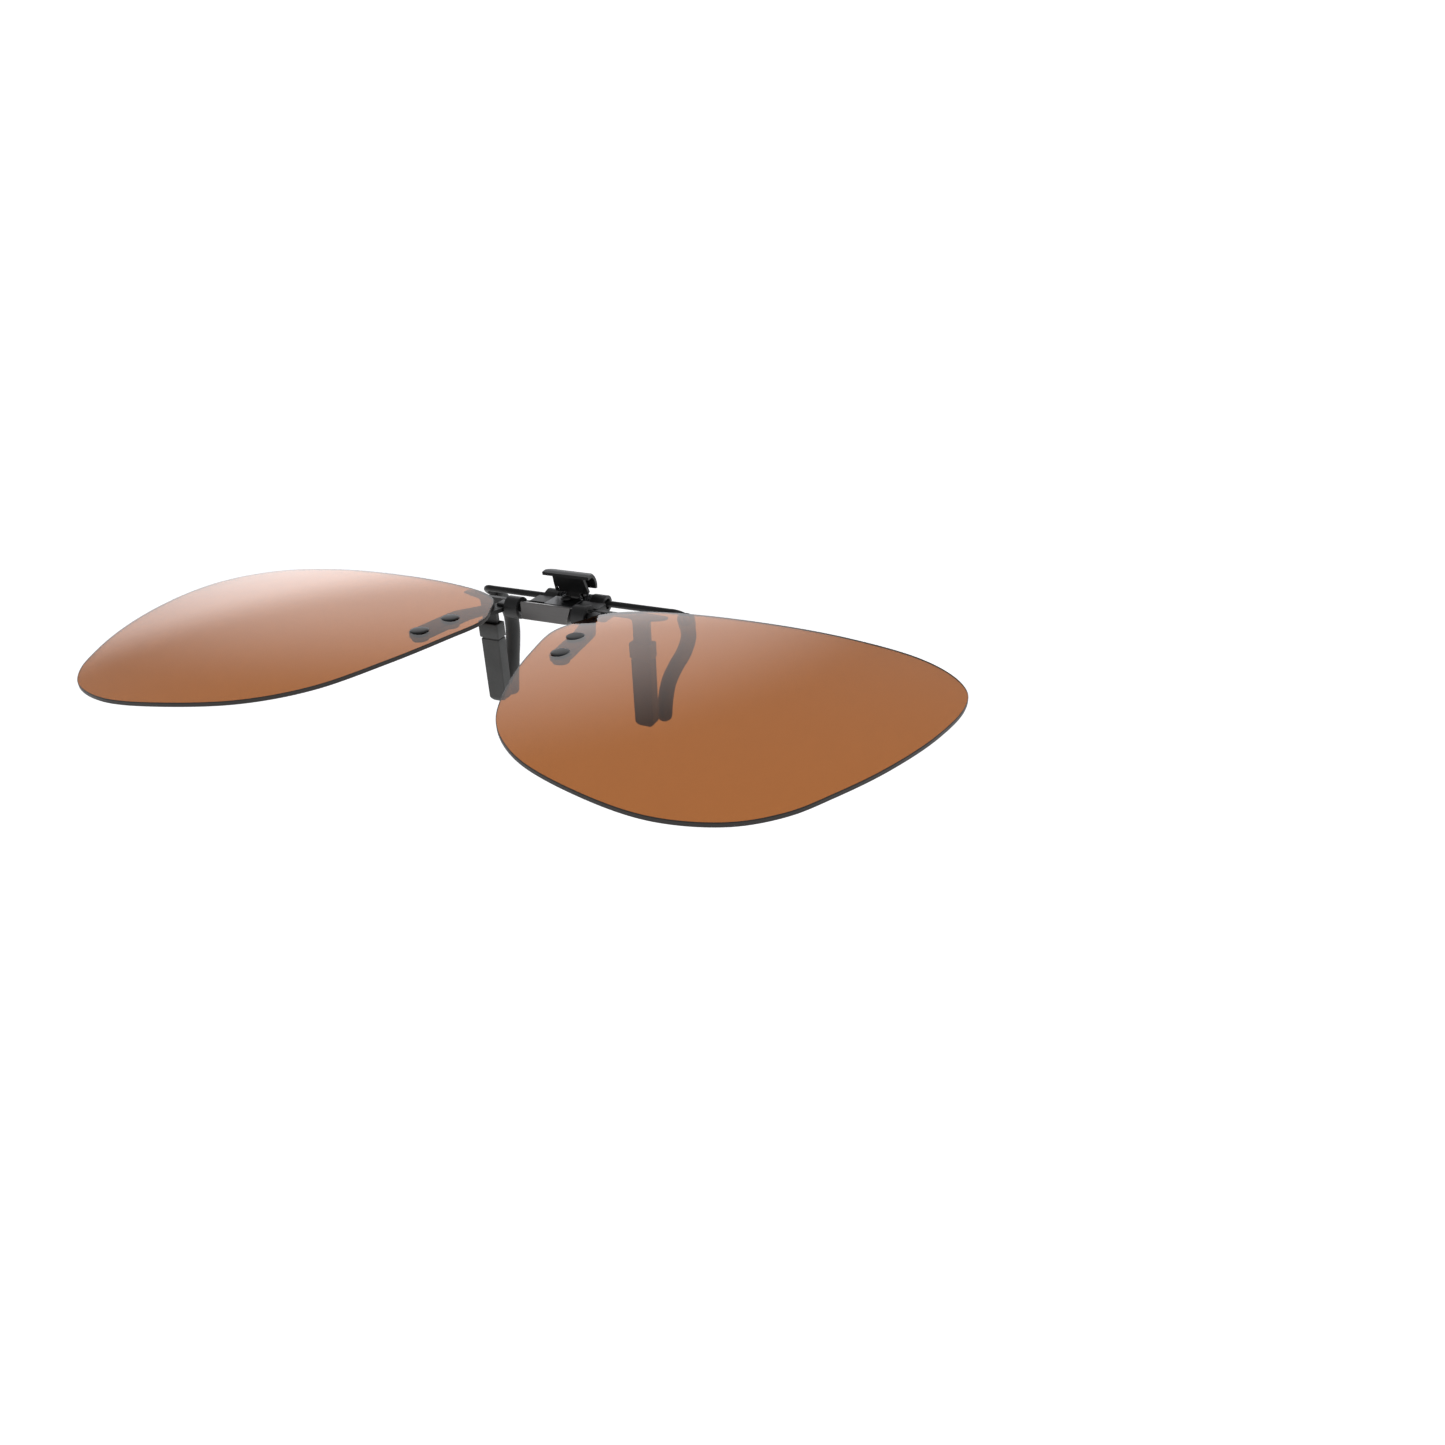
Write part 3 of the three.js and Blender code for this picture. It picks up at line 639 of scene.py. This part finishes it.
@dataclass
class LensUnit(SubAssembly):
    """Everything that flips up: lenses, brackets, rivets, flip bar and pin."""

    body: Body = Body.LENSES
    lens: LensShape = field(default_factory=LensShape)
    rivets: Rivets = field(default_factory=Rivets)
    chamfer: float = 0.08        # ground bevel on each side of a lens's edge
    rings: int = 30              # rings of points on each face of a lens
    rim_points: int = 240        # points on each ring
    bar_half: float = 3.75
    bar_splay: float = 0.5
    bar_tall: float = 2.5
    bar_deep: float = 2.0
    bar_lean: float = 19.0       # degrees that the bar's front face looks up
    bar_ahead: float = 0.3       # how far its middle lies in front of the pin
    bar_below: float = 0.25      # and below it
    pin: float = 0.6             # radius
    bracket_wide: float = 3.1
    bracket_root: float = 2.5    # behind the rear rivet, where the strap turns in
    nose_short: float = 0.2      # how far the nose's middle lies behind the front rivet
    tongue: tuple[float, float, float] = (1.3, 1.9, 1.2)   # width, depth and height
    tongue_x: float = 7.05

    def build(self) -> None:
        """Builds and dresses every piece of the unit."""
        for side in Side:
            self.build_lens(side)
            self.build_bracket(side)
            for number, (u, v) in enumerate(self.rivets.places, 1):
                self.build_rivet(side, number, u, v)
        self.build_bar()

    def build_lens(self, side: Side) -> None:
        """A lens: rings from its middle to the rim over the outer face, down the edge, and back
        under. A ring is the rim drawn towards the middle by one share, less the chamfer."""
        lens = self.lens
        middle = np.array([lens.inner + 0.48 * lens.width, lens.top + 0.46 * lens.height])
        corners = np.array([lens.inner, lens.top]) + np.array(lens.outline) * [lens.width, lens.height]
        rim = spline(corners, closed=True)
        rim = evenly(np.vstack([rim, rim[:1]]), self.rim_points + 1)[:-1]
        out = rim - middle
        inset = 1 - self.chamfer / np.linalg.norm(out, axis=1)
        rings = np.linspace(0.02, 1, self.rings)[:, None] * inset
        share = np.vstack([rings, np.ones((2, len(rim))), rings[::-1]])
        drop = np.r_[np.zeros(self.rings), self.chamfer, lens.thick - self.chamfer,
                     np.full(self.rings, lens.thick)][:, None]
        uv = middle + share[..., None] * out
        slots = np.zeros(len(share) - 1, int)
        slots[self.rings - 1:self.rings + 2] = 1
        skin = Skin().grid(lens.at(uv[..., 0], uv[..., 1], drop), slots=slots)
        self.place(skin, f"lens_{side.word}", [TINTED_LENS, LENS_EDGE], side, sharp=25)

    def build_bracket(self, side: Side) -> None:
        """A bracket: a strap with a round nose under the lens, and a tongue on the pin's end."""
        (rx, rv), (nx, nv) = self.rivets.places
        nose = np.array([nx, self.lens.datum[0] - nv + self.nose_short])
        root = np.array([rx, self.lens.datum[0] - rv + self.bracket_root])
        half = self.bracket_wide / 2
        lean = math.atan2(nose[0] - root[0], root[1] - nose[1])
        aside = half * np.array([math.cos(lean), math.sin(lean)])
        wide, deep, tall = self.tongue
        front = FLIP[1] - deep / 2
        x0, x1 = self.tongue_x, self.tongue_x + wide
        turn = math.degrees(lean)
        inner_side = [[x1, front + 0.1], [x1, front + 0.4], [x0, front + 0.4], [x0, front - 0.6],
                      root - aside]
        strap = np.vstack([
            softened(inner_side, 0.4)[3:],
            arc(tuple(nose), half, 180 + turn, 360 + turn, 25),
            softened([nose + aside, root + aside, [x1, front + 0.1]], 0.9)[5:10],
        ])
        skin = Skin().prism(strap, -self.rivets.sheet, 0, (0, 1, 2))
        plate = skin.points[0]
        plate[:, 2] += self.rivets.bracket_top(self.lens, plate[:, 0], self.lens.datum[0] - plate[:, 1])
        block = softened([[front, FLIP[2] - tall / 2], [front + deep, FLIP[2] - tall / 2],
                          [front + deep, FLIP[2] + tall / 2], [front, FLIP[2] + tall / 2]], 0.3)
        skin.prism(block, x0, x1, (1, 2, 0))
        self.place(skin, f"lens_bracket_{side.word}", [BLACK_PLATING], side, round_off=0.08)

    def build_rivet(self, side: Side, number: int, u: float, v: float) -> None:
        """A rivet with its domed head and the washer that it is closed on.

        Args:
            side: the side it is on.
            number: which of the two it is.
            u: distance from the mid-plane.
            v: distance forward of the datum.
        """
        r, lens = self.rivets, self.lens
        seat = lens.datum[1] + float(lens.rise(u, v)) - r.sink
        top = r.foot(lens, u, v)
        foot = top - r.washer_tall - r.tail
        across = np.linspace(1, 0.02, 12)
        bulge = 0.3 + 0.7 * np.sqrt(1 - across**2)
        dome = np.stack([r.head * across, seat + r.head_tall * bulge], 1)
        profile = np.vstack([[[r.shank - 0.1, foot], [r.shank, foot + 0.1], [r.shank, seat],
                              [r.head - 0.06, seat], [r.head, seat + 0.06]], dome])
        spot = (u, lens.datum[0] - v, 0)
        self.place(Skin().turned(profile, spot), f"lens_rivet_{side.word}_{number}",
                   [BLACK_PLATING], side)
        bore, c = r.shank + r.washer_play, r.bevel
        ring = np.array([[bore, -r.washer_tall], [r.washer - c, -r.washer_tall],
                         [r.washer, c - r.washer_tall], [r.washer, -c], [r.washer - c, 0],
                         [bore, 0]]) + [0, top]
        self.place(Skin().turned(ring, spot, ring=True), f"rivet_washer_{side.word}_{number}",
                   [BLACK_PLATING], side)

    def build_bar(self) -> None:
        """The flip bar, a block that is longer along its upper edge, leaning back, and its pin."""
        half, long, tall = self.bar_half, self.bar_half + self.bar_splay, self.bar_tall / 2
        face = softened([[-half, -tall], [half, -tall], [long, tall], [-long, tall]], 0.15, 3)
        skin = Skin().prism(face, -self.bar_deep / 2 - self.bar_ahead,
                            self.bar_deep / 2 - self.bar_ahead, (0, 2, 1))
        block = skin.points[0]
        a = math.radians(self.bar_lean)
        y, z = block[:, 1].copy(), block[:, 2] - self.bar_below
        block[:, 1] = FLIP[1] + y * math.cos(a) + z * math.sin(a)
        block[:, 2] = FLIP[2] - y * math.sin(a) + z * math.cos(a)
        self.place(skin, "flip_bar", [SATIN_PLATING], round_off=0.16)
        end, c = self.tongue_x - 0.1, 0.1
        rod = np.array([[self.pin - c, -end], [self.pin, c - end], [self.pin, end - c], [self.pin - c, end]])
        self.place(Skin().turned(rod, (0, FLIP[1], FLIP[2]), axis=0), "flip_pin", [BLACK_PLATING])


@dataclass
class ClipBase(SubAssembly):
    """What stays on the spectacles: stamped frame, front sleeves, detent leaf and springs."""

    body: Body = Body.BASE
    plate: float = 0.8           # sheet of the frame
    plate_y: float = -1.05       # its mid-thickness
    arm_reach: float = 17.6
    arm_foot: float = 11.15
    deck_top: float = 12.0       # also the top of the arms
    deck_half: float = 5.9
    panel_foot: float = 10.0
    panel_half: float = 7.4
    leg_x: float = 13.25
    neck: float = 2.6            # width
    tongue: float = 1.3          # width
    hook_x: float = 4.55
    hook_wide: float = 2.2
    hook_sheet: float = 0.6
    hook_mid: float = 1.35       # radius of the middle of its sheet
    hook_bend: float = -2.6      # the y where its sheet, level until there, starts to curl
    knuckle: tuple[float, float] = (2.9, 5.2)
    knuckle_outer: float = 1.3
    knuckle_inner: float = 0.8
    pad_wide: float = 3.3
    pad_foot_wide: float = 3.1
    pad_deep: float = 2.1
    collar: float = 2.3          # height
    proud: float = 0.12
    cup: float = 1.0             # depth of the recess that the neck stands in
    leaf_half: float = 2.4
    spring_wire: float = 0.17
    spring_mid: float = 0.98
    spring_turns: int = 3

    def build(self) -> None:
        """Builds and dresses every piece of the base."""
        self.build_frame()
        self.build_leaf()
        for side in Side:
            self.build_sleeve(side)
            self.build_spring(side)

    def build_frame(self) -> None:
        """The stamped frame: face, deck, two hooks round the flip pin and two rolled knuckles."""
        neck_in, neck_out = self.leg_x - self.neck / 2, self.leg_x + self.neck / 2
        tongue_in, tongue_out = self.leg_x - self.tongue / 2, self.leg_x + self.tongue / 2
        shoulder = PAD_TOP - self.cup + 0.25
        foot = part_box("front_frame")[0].z / MM
        half = [
            [self.panel_half, self.panel_foot], [self.panel_half + 1.5, self.arm_foot],
            [neck_in - 0.3, self.arm_foot], [neck_in, self.arm_foot - 0.4], [neck_in, shoulder],
            [tongue_in, shoulder - 0.3], [tongue_in, foot], [tongue_out, foot],
            [tongue_out, shoulder - 0.3], [neck_out, shoulder], [neck_out, self.arm_foot - 0.2],
            [neck_out + 0.4, self.arm_foot], [self.arm_reach - 1.6, self.arm_foot + 0.15],
            [self.arm_reach, self.arm_foot + 0.55], [self.arm_reach - 0.4, self.deck_top],
        ]
        right = np.array(half)
        face = softened(np.vstack([right, right[::-1] * [-1, 1]]), 0.25, 4)
        front = self.plate_y - self.plate / 2
        skin = Skin().prism(face, front, front + self.plate, (0, 2, 1))
        mid = self.deck_top - self.plate / 2
        back = WIRE[1] - self.knuckle_outer - 0.3
        deck = softened([[-self.deck_half, front + 0.1], [self.deck_half, front + 0.1],
                         [self.deck_half, back], [-self.deck_half, back]], 0.4)
        skin.prism(deck, self.deck_top - self.plate, self.deck_top, (0, 1, 2))
        reach = self.hook_mid
        hook = np.vstack([[[front + 0.2, FLIP[2] - reach + 0.2],
                           [self.hook_bend, FLIP[2] - reach + 0.12]],
                          arc((FLIP[1], FLIP[2]), reach, -90, -330, 40)])
        roll = (self.knuckle_outer + self.knuckle_inner) / 2
        rising = [[0.9, mid], [1.7, mid + 0.02], [2.3, mid + 0.3], [2.85, WIRE[2] + roll * 0.86]]
        knuckle = np.vstack([spline(rising, per_span=5)[:-1],
                             arc((WIRE[1], WIRE[2]), roll, 112, -190, 44)])
        rolled_sheet = self.knuckle_outer - self.knuckle_inner
        for sign in (-1, 1):
            ends = sorted((sign * self.hook_x, sign * (self.hook_x + self.hook_wide)))
            skin.strap(evenly(hook, 60), self.hook_sheet, *ends)
            skin.strap(evenly(knuckle, 64), rolled_sheet, *sorted(sign * k for k in self.knuckle))
        self.place(skin, "front_frame", [BLACK_PLATING], round_off=0.09)

    def build_sleeve(self, side: Side) -> None:
        """A sleeve on a front leg: rounded rectangles up its outside, over the lip of the collar and
        down inside the recess and the pocket of the leg. The rear face stays flat at y = 0."""
        top, foot, proud = PAD_TOP, PAD_FOOT, self.proud
        wide, narrow, deep = self.pad_wide / 2, self.pad_foot_wide / 2, self.pad_deep
        under = top - self.collar
        rows = np.array([
            # height, half width, front, rear, corner
            [foot, narrow - 0.66, -deep + 0.42, -0.32, 0.2],
            [foot + 0.04, narrow - 0.54, -deep + 0.3, -0.2, 0.22],
            [foot + 0.2, narrow - 0.36, -deep + 0.16, -0.09, 0.24],
            [foot + 0.42, narrow - 0.15, -deep + 0.05, -0.02, 0.24],
            [foot + 0.62, narrow - 0.03, -deep, 0, 0.24],
            [foot + 0.8, narrow, -deep, 0, 0.24],
            [foot + 4.0, narrow + (wide - narrow) * 0.38, -deep, 0, 0.24],
            [under - 0.36, wide - 0.03, -deep, 0, 0.24],
            [under - 0.32, wide - 0.13, -deep + 0.11, -0.02, 0.24],
            [under - 0.07, wide - 0.15, -deep + 0.13, -0.04, 0.24],
            [under - 0.03, wide + proud - 0.06, -deep - proud + 0.06, -0.04, 0.24],
            [under + 0.05, wide + proud, -deep - proud, 0, 0.26],
            [top - 0.12, wide + proud, -deep - proud, 0, 0.26],
            [top - 0.03, wide + proud - 0.05, -deep - proud + 0.05, -0.03, 0.24],
            [top, wide + proud - 0.15, -deep - proud + 0.15, -0.12, 0.2],
            [top - 0.03, wide - 0.08, -deep + 0.1, -0.24, 0.26],
            [top - 0.14, wide - 0.13, -deep + 0.16, -0.28, 0.24],
            [top - self.cup + 0.1, wide - 0.16, -deep + 0.2, -0.3, 0.22],
            [top - self.cup, wide - 0.22, -deep + 0.26, -0.36, 0.2],
            [top - self.cup - 0.02, self.tongue / 2 + 0.2, self.plate_y - 0.6, self.plate_y + 0.6, 0.1],
            [foot + 1.2, self.tongue / 2 + 0.2, self.plate_y - 0.6, self.plate_y + 0.6, 0.1],
        ])
        z, half, low, high, corner = rows.T
        section = rounded_box(half, low, high, corner)
        heights = np.broadcast_to(z[:, None], section.shape[:2])
        grid = np.dstack([section[..., 0] + self.leg_x, section[..., 1], heights])
        self.place(Skin().grid(grid), f"front_sleeve_{side.word}", [SILICONE], side, sharp=50)

    def build_leaf(self) -> None:
        """The detent leaf, drawn as a flat strip though the real one dips to the flip bar, and the rivet
        that holds it.
        """
        low, high = (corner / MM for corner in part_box("detent_leaf"))
        mid = (low.z + high.z) / 2
        line = spline([[low.y, mid], [low.y + 0.9, mid], [-0.3, mid], [high.y, mid]], per_span=6)
        skin = Skin().strap(line, high.z - low.z, -self.leaf_half, self.leaf_half)
        self.place(skin, "detent_leaf", [SPRING_STEEL], round_off=0.06)
        low, high = (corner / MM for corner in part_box("leaf_rivet"))
        across = np.linspace(1, 0.03, 10)
        seat = high.z - 0.35
        dome = np.stack([0.85 * across, seat + 0.35 * (0.25 + 0.75 * np.sqrt(1 - across**2))], 1)
        profile = np.vstack([[[0.4, low.z], [0.45, low.z + 0.05], [0.45, seat], [0.8, seat]], dome])
        spot = (0, (low.y + high.y) / 2, 0)
        self.place(Skin().turned(profile, spot), "leaf_rivet", [BLACK_PLATING])

    def build_spring(self, side: Side) -> None:
        """A torsion spring: fine wire along a helix round the jaw's wire, with a tail on the deck."""
        low, high = (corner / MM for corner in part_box(f"torsion_spring_{Side.RIGHT.word}"))
        inner, outer = low.x + self.spring_wire, high.x - self.spring_wire
        steps = 40 * self.spring_turns
        a = math.pi * 0.9 + np.linspace(0, 2 * math.pi * self.spring_turns, steps + 1)
        turns = np.stack([np.linspace(inner, outer, steps + 1), WIRE[1] + self.spring_mid * np.cos(a),
                          WIRE[2] + self.spring_mid * np.sin(a)], 1)
        tail = self.deck_top + self.spring_wire + 0.15
        start = spline([[inner, WIRE[1] - 2.0, tail], [inner, WIRE[1] - 1.4, tail], turns[0]], per_span=8)
        line = np.vstack([start[:-1], turns])
        self.place(Skin().tube(line, circle(self.spring_wire, 12), (1, 0.02, 0)),
                   f"torsion_spring_{side.word}", [SPRING_STEEL], side)


@dataclass
class RearJaw(SubAssembly):
    """The sprung jaw: a wire with two bowed legs in silicone tubes, and the squeeze lever."""

    body: Body = Body.JAW
    wire: float = 0.5            # radius
    wire_half: float = 17.4
    bow: float = 4.85
    tube: float = 1.26           # radius
    tube_start: float = 0.1      # share of the leg left bare
    tip_x: float = 14.1          # where the leg ends
    collar: float = 0.12         # how much the tube swells at its top
    collar_tall: float = 2.4
    closing: float = 1.05        # length over which its tip closes
    grip_gap: float = 2.1
    sheet: float = 0.5           # the lever's sheet
    lever_top: float = 4.75      # height of its crown over the wire
    crown_half: float = 3.95
    crest_share: float = 0.66    # the web's upper half width over the crown's
    web_span: tuple[float, float] = (0.36, 0.985)   # the web's foot and crest, shares of the height
    foot_half: float = 2.9
    barrel: tuple[float, float] = (0.7, 1.15)
    barrel_half: float = 1.1
    hole: float = 0.33
    route: tuple[tuple[float, float, float], ...] = (
        (0.00, 0.04, 0.19), (0.11, 0.12, 0.50), (0.26, 0.23, 0.84), (0.34, 0.36, 1.00),
        (0.51, 0.49, 0.87), (0.74, 0.60, 0.57), (0.91, 0.715, 0.29), (0.985, 0.855, 0.11),
        (1.00, 1.00, 0.00))

    def build(self) -> None:
        """Builds and dresses every piece of the jaw."""
        self.build_wire()
        for side in Side:
            self.build_tube(side)
        self.build_lever()

    def leg(self) -> np.ndarray:
        """The right leg's line from the end of the straight run to its tip: shares of the way
        inwards and down, and of the bow backwards.

        Returns:
            The points that the line goes through, one row each.
        """
        inward, down, bow = np.array(self.route).T
        tip = np.array([self.tip_x, self.grip_gap + self.tube, PAD_FOOT + 0.1])
        return np.stack([
            self.wire_half + (tip[0] - self.wire_half) * inward,
            WIRE[1] + (tip[1] - WIRE[1]) * down + self.bow * bow,
            WIRE[2] + (tip[2] - WIRE[2]) * down], 1)

    def build_wire(self) -> None:
        """The wire: a circle carried down one leg, along the straight run and down the other."""
        leg = np.vstack([[self.wire_half - 0.9, WIRE[1], WIRE[2]], self.leg()])
        run = (self.wire_half - 2) * np.array([[-1.0], [-0.4], [0.4], [1.0]])
        straight = np.hstack([run, np.full_like(run, WIRE[1]), np.full_like(run, WIRE[2])])
        line = spline(np.vstack([(leg * [-1, 1, 1])[::-1], straight, leg]), per_span=12)
        self.place(Skin().tube(evenly(line, 220), circle(self.wire, 20)), "rear_wire", [BLACK_PLATING])

    def build_tube(self, side: Side) -> None:
        """A silicone tube on a leg: circles whose radius swells at the collar and closes as a
        quarter circle over the last stretch, past the leg's tip."""
        line = evenly(spline(self.leg()), 90, self.tube_start)
        down = line[-1] - line[-2]
        down /= np.linalg.norm(down)
        past = line[-1] + down * np.linspace(0.06, 1.4, 24)[:, None]
        path = np.vstack([line, past])
        run = np.r_[0, np.cumsum(np.linalg.norm(np.diff(path, axis=0), axis=1))]
        left = run[-1] - run
        inside = left < self.closing
        tip = np.sqrt(np.clip(1 - (1 - left / self.closing) ** 2, 0.0004, 1)) * inside + ~inside
        collar = self.collar / (1 + np.exp((run - self.collar_tall) / 0.05))
        lip = np.sqrt(np.clip(1 - (1 - (run + 0.02) / 0.15) ** 2, 0, 1)) * (run < 0.13) + (run >= 0.13)
        radius = (self.tube + collar - 0.06) * tip - 0.15 * (1 - lip)
        section = circle(1.0, 32)[None] * radius[:, None, None]
        self.place(Skin().tube(path, section), f"rear_sleeve_{side.word}", [SILICONE], side)

    def build_lever(self) -> None:
        """The squeeze lever: a crown bent over from its front lip, a web with a hole, and a barrel
        rolled round the wire."""
        top = self.lever_top

        def at(points: list[list[float]]) -> np.ndarray:
            """Points in (y, z) from distances behind the wire and shares of the lever's height."""
            return np.array(points) * [1, top] + WIRE[1:]

        crown = spline(at([[-3.1, 1.0], [-2.1, 1.02], [-0.9, 0.97], [0.1, 0.80], [0.55, 0.58],
                           [0.5, 0.44]]), per_span=8)
        y = crown[:, 0] - WIRE[1]
        half = self.crown_half * np.interp(y, [-2.1, -1.9, -1.0, -0.8], [1.0, 0.97, 0.82, 0.79])
        skin = Skin().grid(self.sheet_rows(crown, half))
        web = at([[-0.75, 0.14], [-1.3, 0.39], [-1.9, 0.70], [-2.35, 0.99]])
        foot, crest = WIRE[2] + np.array(self.web_span) * top
        half_crest = self.crest_share * self.crown_half
        outline = softened([[-self.foot_half, foot], [self.foot_half, foot],
                            [half_crest, crest], [-half_crest, crest]], 0.35)
        hole = np.array([0.5 - self.foot_half, WIRE[2] + 0.47 * top])
        skin.grid(self.web_rows(web, evenly(np.vstack([outline, outline[:1]]), 97)[:-1], hole), ring=True)
        roll = sum(self.barrel) / 2
        neck = np.vstack([spline(at([[-1.45, 0.46], [-1.2, 0.34], [-0.98, 0.2]]), per_span=6)[:-1],
                          arc((WIRE[1], WIRE[2]), roll, 145, 460, 44)])
        skin.strap(evenly(neck, 64), self.barrel[1] - self.barrel[0], -self.barrel_half, self.barrel_half)
        self.place(skin, "squeeze_lever", [BLACK_PLATING], round_off=0.09)

    def sheet_rows(self, line: np.ndarray, half: np.ndarray) -> np.ndarray:
        """Rows of a sheet along a bent line in (y, z): four corners, half a width to each side and
        half a thickness to each face.

        Args:
            line: the sheet's middle line, one row for each point.
            half: half the width at each point.

        Returns:
            A grid of points, line by 4 by 3.
        """
        along = np.gradient(line, axis=0)
        along /= np.linalg.norm(along, axis=1, keepdims=True)
        normal = along[:, ::-1] * [-1, 1] * self.sheet / 2
        corners = []
        for across, face in ((-1, 1), (1, 1), (1, -1), (-1, -1)):
            yz = line + face * normal
            corners.append(np.column_stack([across * half, yz]))
        return np.stack(corners, axis=1)

    def web_rows(self, line: np.ndarray, outline: np.ndarray, centre: np.ndarray) -> np.ndarray:
        """Rows of the web, from the rim of its hole out to its outline on the front face, and back
        to the hole on the rear face.

        Args:
            line: the web's middle line in (y, z).
            outline: the web's outline in (x, z).
            centre: the hole's middle in (x, z).

        Returns:
            A grid of points, closed both ways.
        """
        out = outline - centre
        rim = centre + self.hole * out / np.linalg.norm(out, axis=1, keepdims=True)
        shares = np.linspace(0, 1, 6)[:, None, None]
        face = rim + (outline - rim) * shares
        xz = np.concatenate([face, face[::-1]])
        away = np.repeat([-1, 1], 6)[:, None] * self.sheet / 2
        slope = np.gradient(line, axis=0).mean(axis=0)
        slope /= np.linalg.norm(slope)
        y = np.interp(xz[..., 1], line[:, 1], line[:, 0]) + away * slope[1]
        return np.stack([xz[..., 0], y, xz[..., 1] - away * slope[0]], axis=2)


# ---------- studio ----------
@dataclass
class Studio:
    """A pale floor, soft light that is brightest low down all round, and the camera."""

    wall: float = 1.06           # strength of the light near the horizon
    ceiling: float = 0.38        # strength of the light overhead
    band: tuple[float, float] = (9.0, 19.0)    # elevations where the one gives way to the other
    glow: float = 1.1            # how much brighter the soft box behind the clip is
    glow_place: tuple[float, float] = (-36.0, 14.0)   # its azimuth from +Y, and elevation
    glow_spread: tuple[float, float] = (5.0, 27.0)    # degrees from its middle where it fades
    table: float = 0.66          # strength of the floor's own light
    floor_drop: float = 90.0     # millimetres below the clip
    floor_half: float = 4000.0
    azimuth: float = 23.0        # degrees that the camera stands round to the right
    elevation: float = 26.8
    roll: float = -1.0
    key_spot: tuple[float, float, float] = (0.35, -0.1, 0.7)    # metres
    key_size: float = 0.5        # metres
    key_power: float = 0.5       # watts
    lens: float = 23.917         # millimetres, on a sensor 36 mm wide
    spot: tuple[float, float, float] = (75.1, -117.3, 60.8)

    def build(self) -> None:
        """Sets up the floor, the light and the camera."""
        self.build_floor()
        self.build_light()
        self.build_camera()

    def build_floor(self) -> None:
        """A wide pale floor, faintly lit from within as a light table is."""
        half, z = self.floor_half * MM, -self.floor_drop * MM
        corners = [(-half, -half, z), (half, -half, z), (half, half, z), (-half, half, z)]
        mesh = bpy.data.meshes.new("floor")
        mesh.from_pydata(corners, [], [(0, 1, 2, 3)])
        floor = bpy.data.objects.new("floor", mesh)
        bpy.context.scene.collection.objects.link(floor)
        material = bpy.data.materials.new("white_acrylic_table")
        material.use_nodes = True
        shader = material.node_tree.nodes["Principled BSDF"]
        shader.inputs["Base Color"].default_value = linear("#f4f4f4")
        shader.inputs["Roughness"].default_value = 0.9
        shader.inputs["Emission Color"].default_value = linear("#ffffff")
        shader.inputs["Emission Strength"].default_value = self.table
        mesh.materials.append(material)

    def build_light(self) -> None:
        """Light from all round, bright near the horizon and dim overhead, with the glow of a soft
        box behind the clip, and one soft key light."""
        world = bpy.data.worlds.new("studio")
        world.use_nodes = True
        bpy.context.scene.world = world
        tree = world.node_tree
        tree.nodes.clear()
        way = add_node(tree, "ShaderNodeTexCoord")
        split = add_node(tree, "ShaderNodeSeparateXYZ", {"Vector": way.outputs["Generated"]})
        band = add_node(tree, "ShaderNodeMapRange", {
            "Value": split.outputs["Z"],
            "From Min": math.sin(math.radians(self.band[0])),
            "From Max": math.sin(math.radians(self.band[1])),
            "To Min": self.wall,
            "To Max": self.ceiling,
        }, interpolation_type="SMOOTHSTEP")
        turn, rise = (math.radians(a) for a in self.glow_place)
        centre = (math.sin(turn) * math.cos(rise), math.cos(turn) * math.cos(rise), math.sin(rise))
        nearness = add_node(tree, "ShaderNodeVectorMath", {
            0: way.outputs["Generated"],
            1: centre,
        }, operation="DOT_PRODUCT")
        glow = add_node(tree, "ShaderNodeMapRange", {
            "Value": nearness.outputs["Value"],
            "From Min": math.cos(math.radians(self.glow_spread[1])),
            "From Max": math.cos(math.radians(self.glow_spread[0])),
            "To Min": 0.0,
            "To Max": self.glow,
        }, interpolation_type="SMOOTHSTEP")
        strength = add_node(tree, "ShaderNodeMath", {
            0: band.outputs["Result"],
            1: glow.outputs["Result"],
        }, operation="ADD")
        sky = add_node(tree, "ShaderNodeBackground", {
            "Color": linear("#fbfcff"),
            "Strength": strength.outputs["Value"],
        })
        add_node(tree, "ShaderNodeOutputWorld", {"Surface": sky.outputs["Background"]})
        key = bpy.data.lights.new("key", "AREA")
        key.shape = "DISK"
        key.size = self.key_size
        key.energy = self.key_power
        lamp = bpy.data.objects.new("key", key)
        lamp.location = self.key_spot
        lamp.rotation_euler = Vector(self.key_spot).to_track_quat("Z", "Y").to_euler()
        bpy.context.scene.collection.objects.link(lamp)

    def build_camera(self) -> None:
        """The camera, turned by its azimuth and elevation, then rolled about its own axis."""
        lens = bpy.data.cameras.new("camera")
        lens.lens = self.lens
        lens.sensor_width = 36.0
        lens.clip_start = 0.005
        camera = bpy.data.objects.new("camera", lens)
        turn = (Matrix.Rotation(math.radians(self.azimuth), 4, "Z")
                @ Matrix.Rotation(math.radians(90 - self.elevation), 4, "X")
                @ Matrix.Rotation(math.radians(self.roll), 4, "Z"))
        camera.matrix_world = Matrix.Translation(Vector(self.spot) * MM) @ turn
        bpy.context.scene.collection.objects.link(camera)
        bpy.context.scene.camera = camera


def main() -> None:
    """Builds the clip and its studio in order."""
    logging.basicConfig(level=logging.INFO, format="%(message)s")
    for part in (LensUnit(), ClipBase(), RearJaw(), Studio()):
        part.build()
        LOG.info("%s done", type(part).__name__)
    bpy.context.scene.view_settings.view_transform = "Standard"


if __name__ == "__main__":
    main()
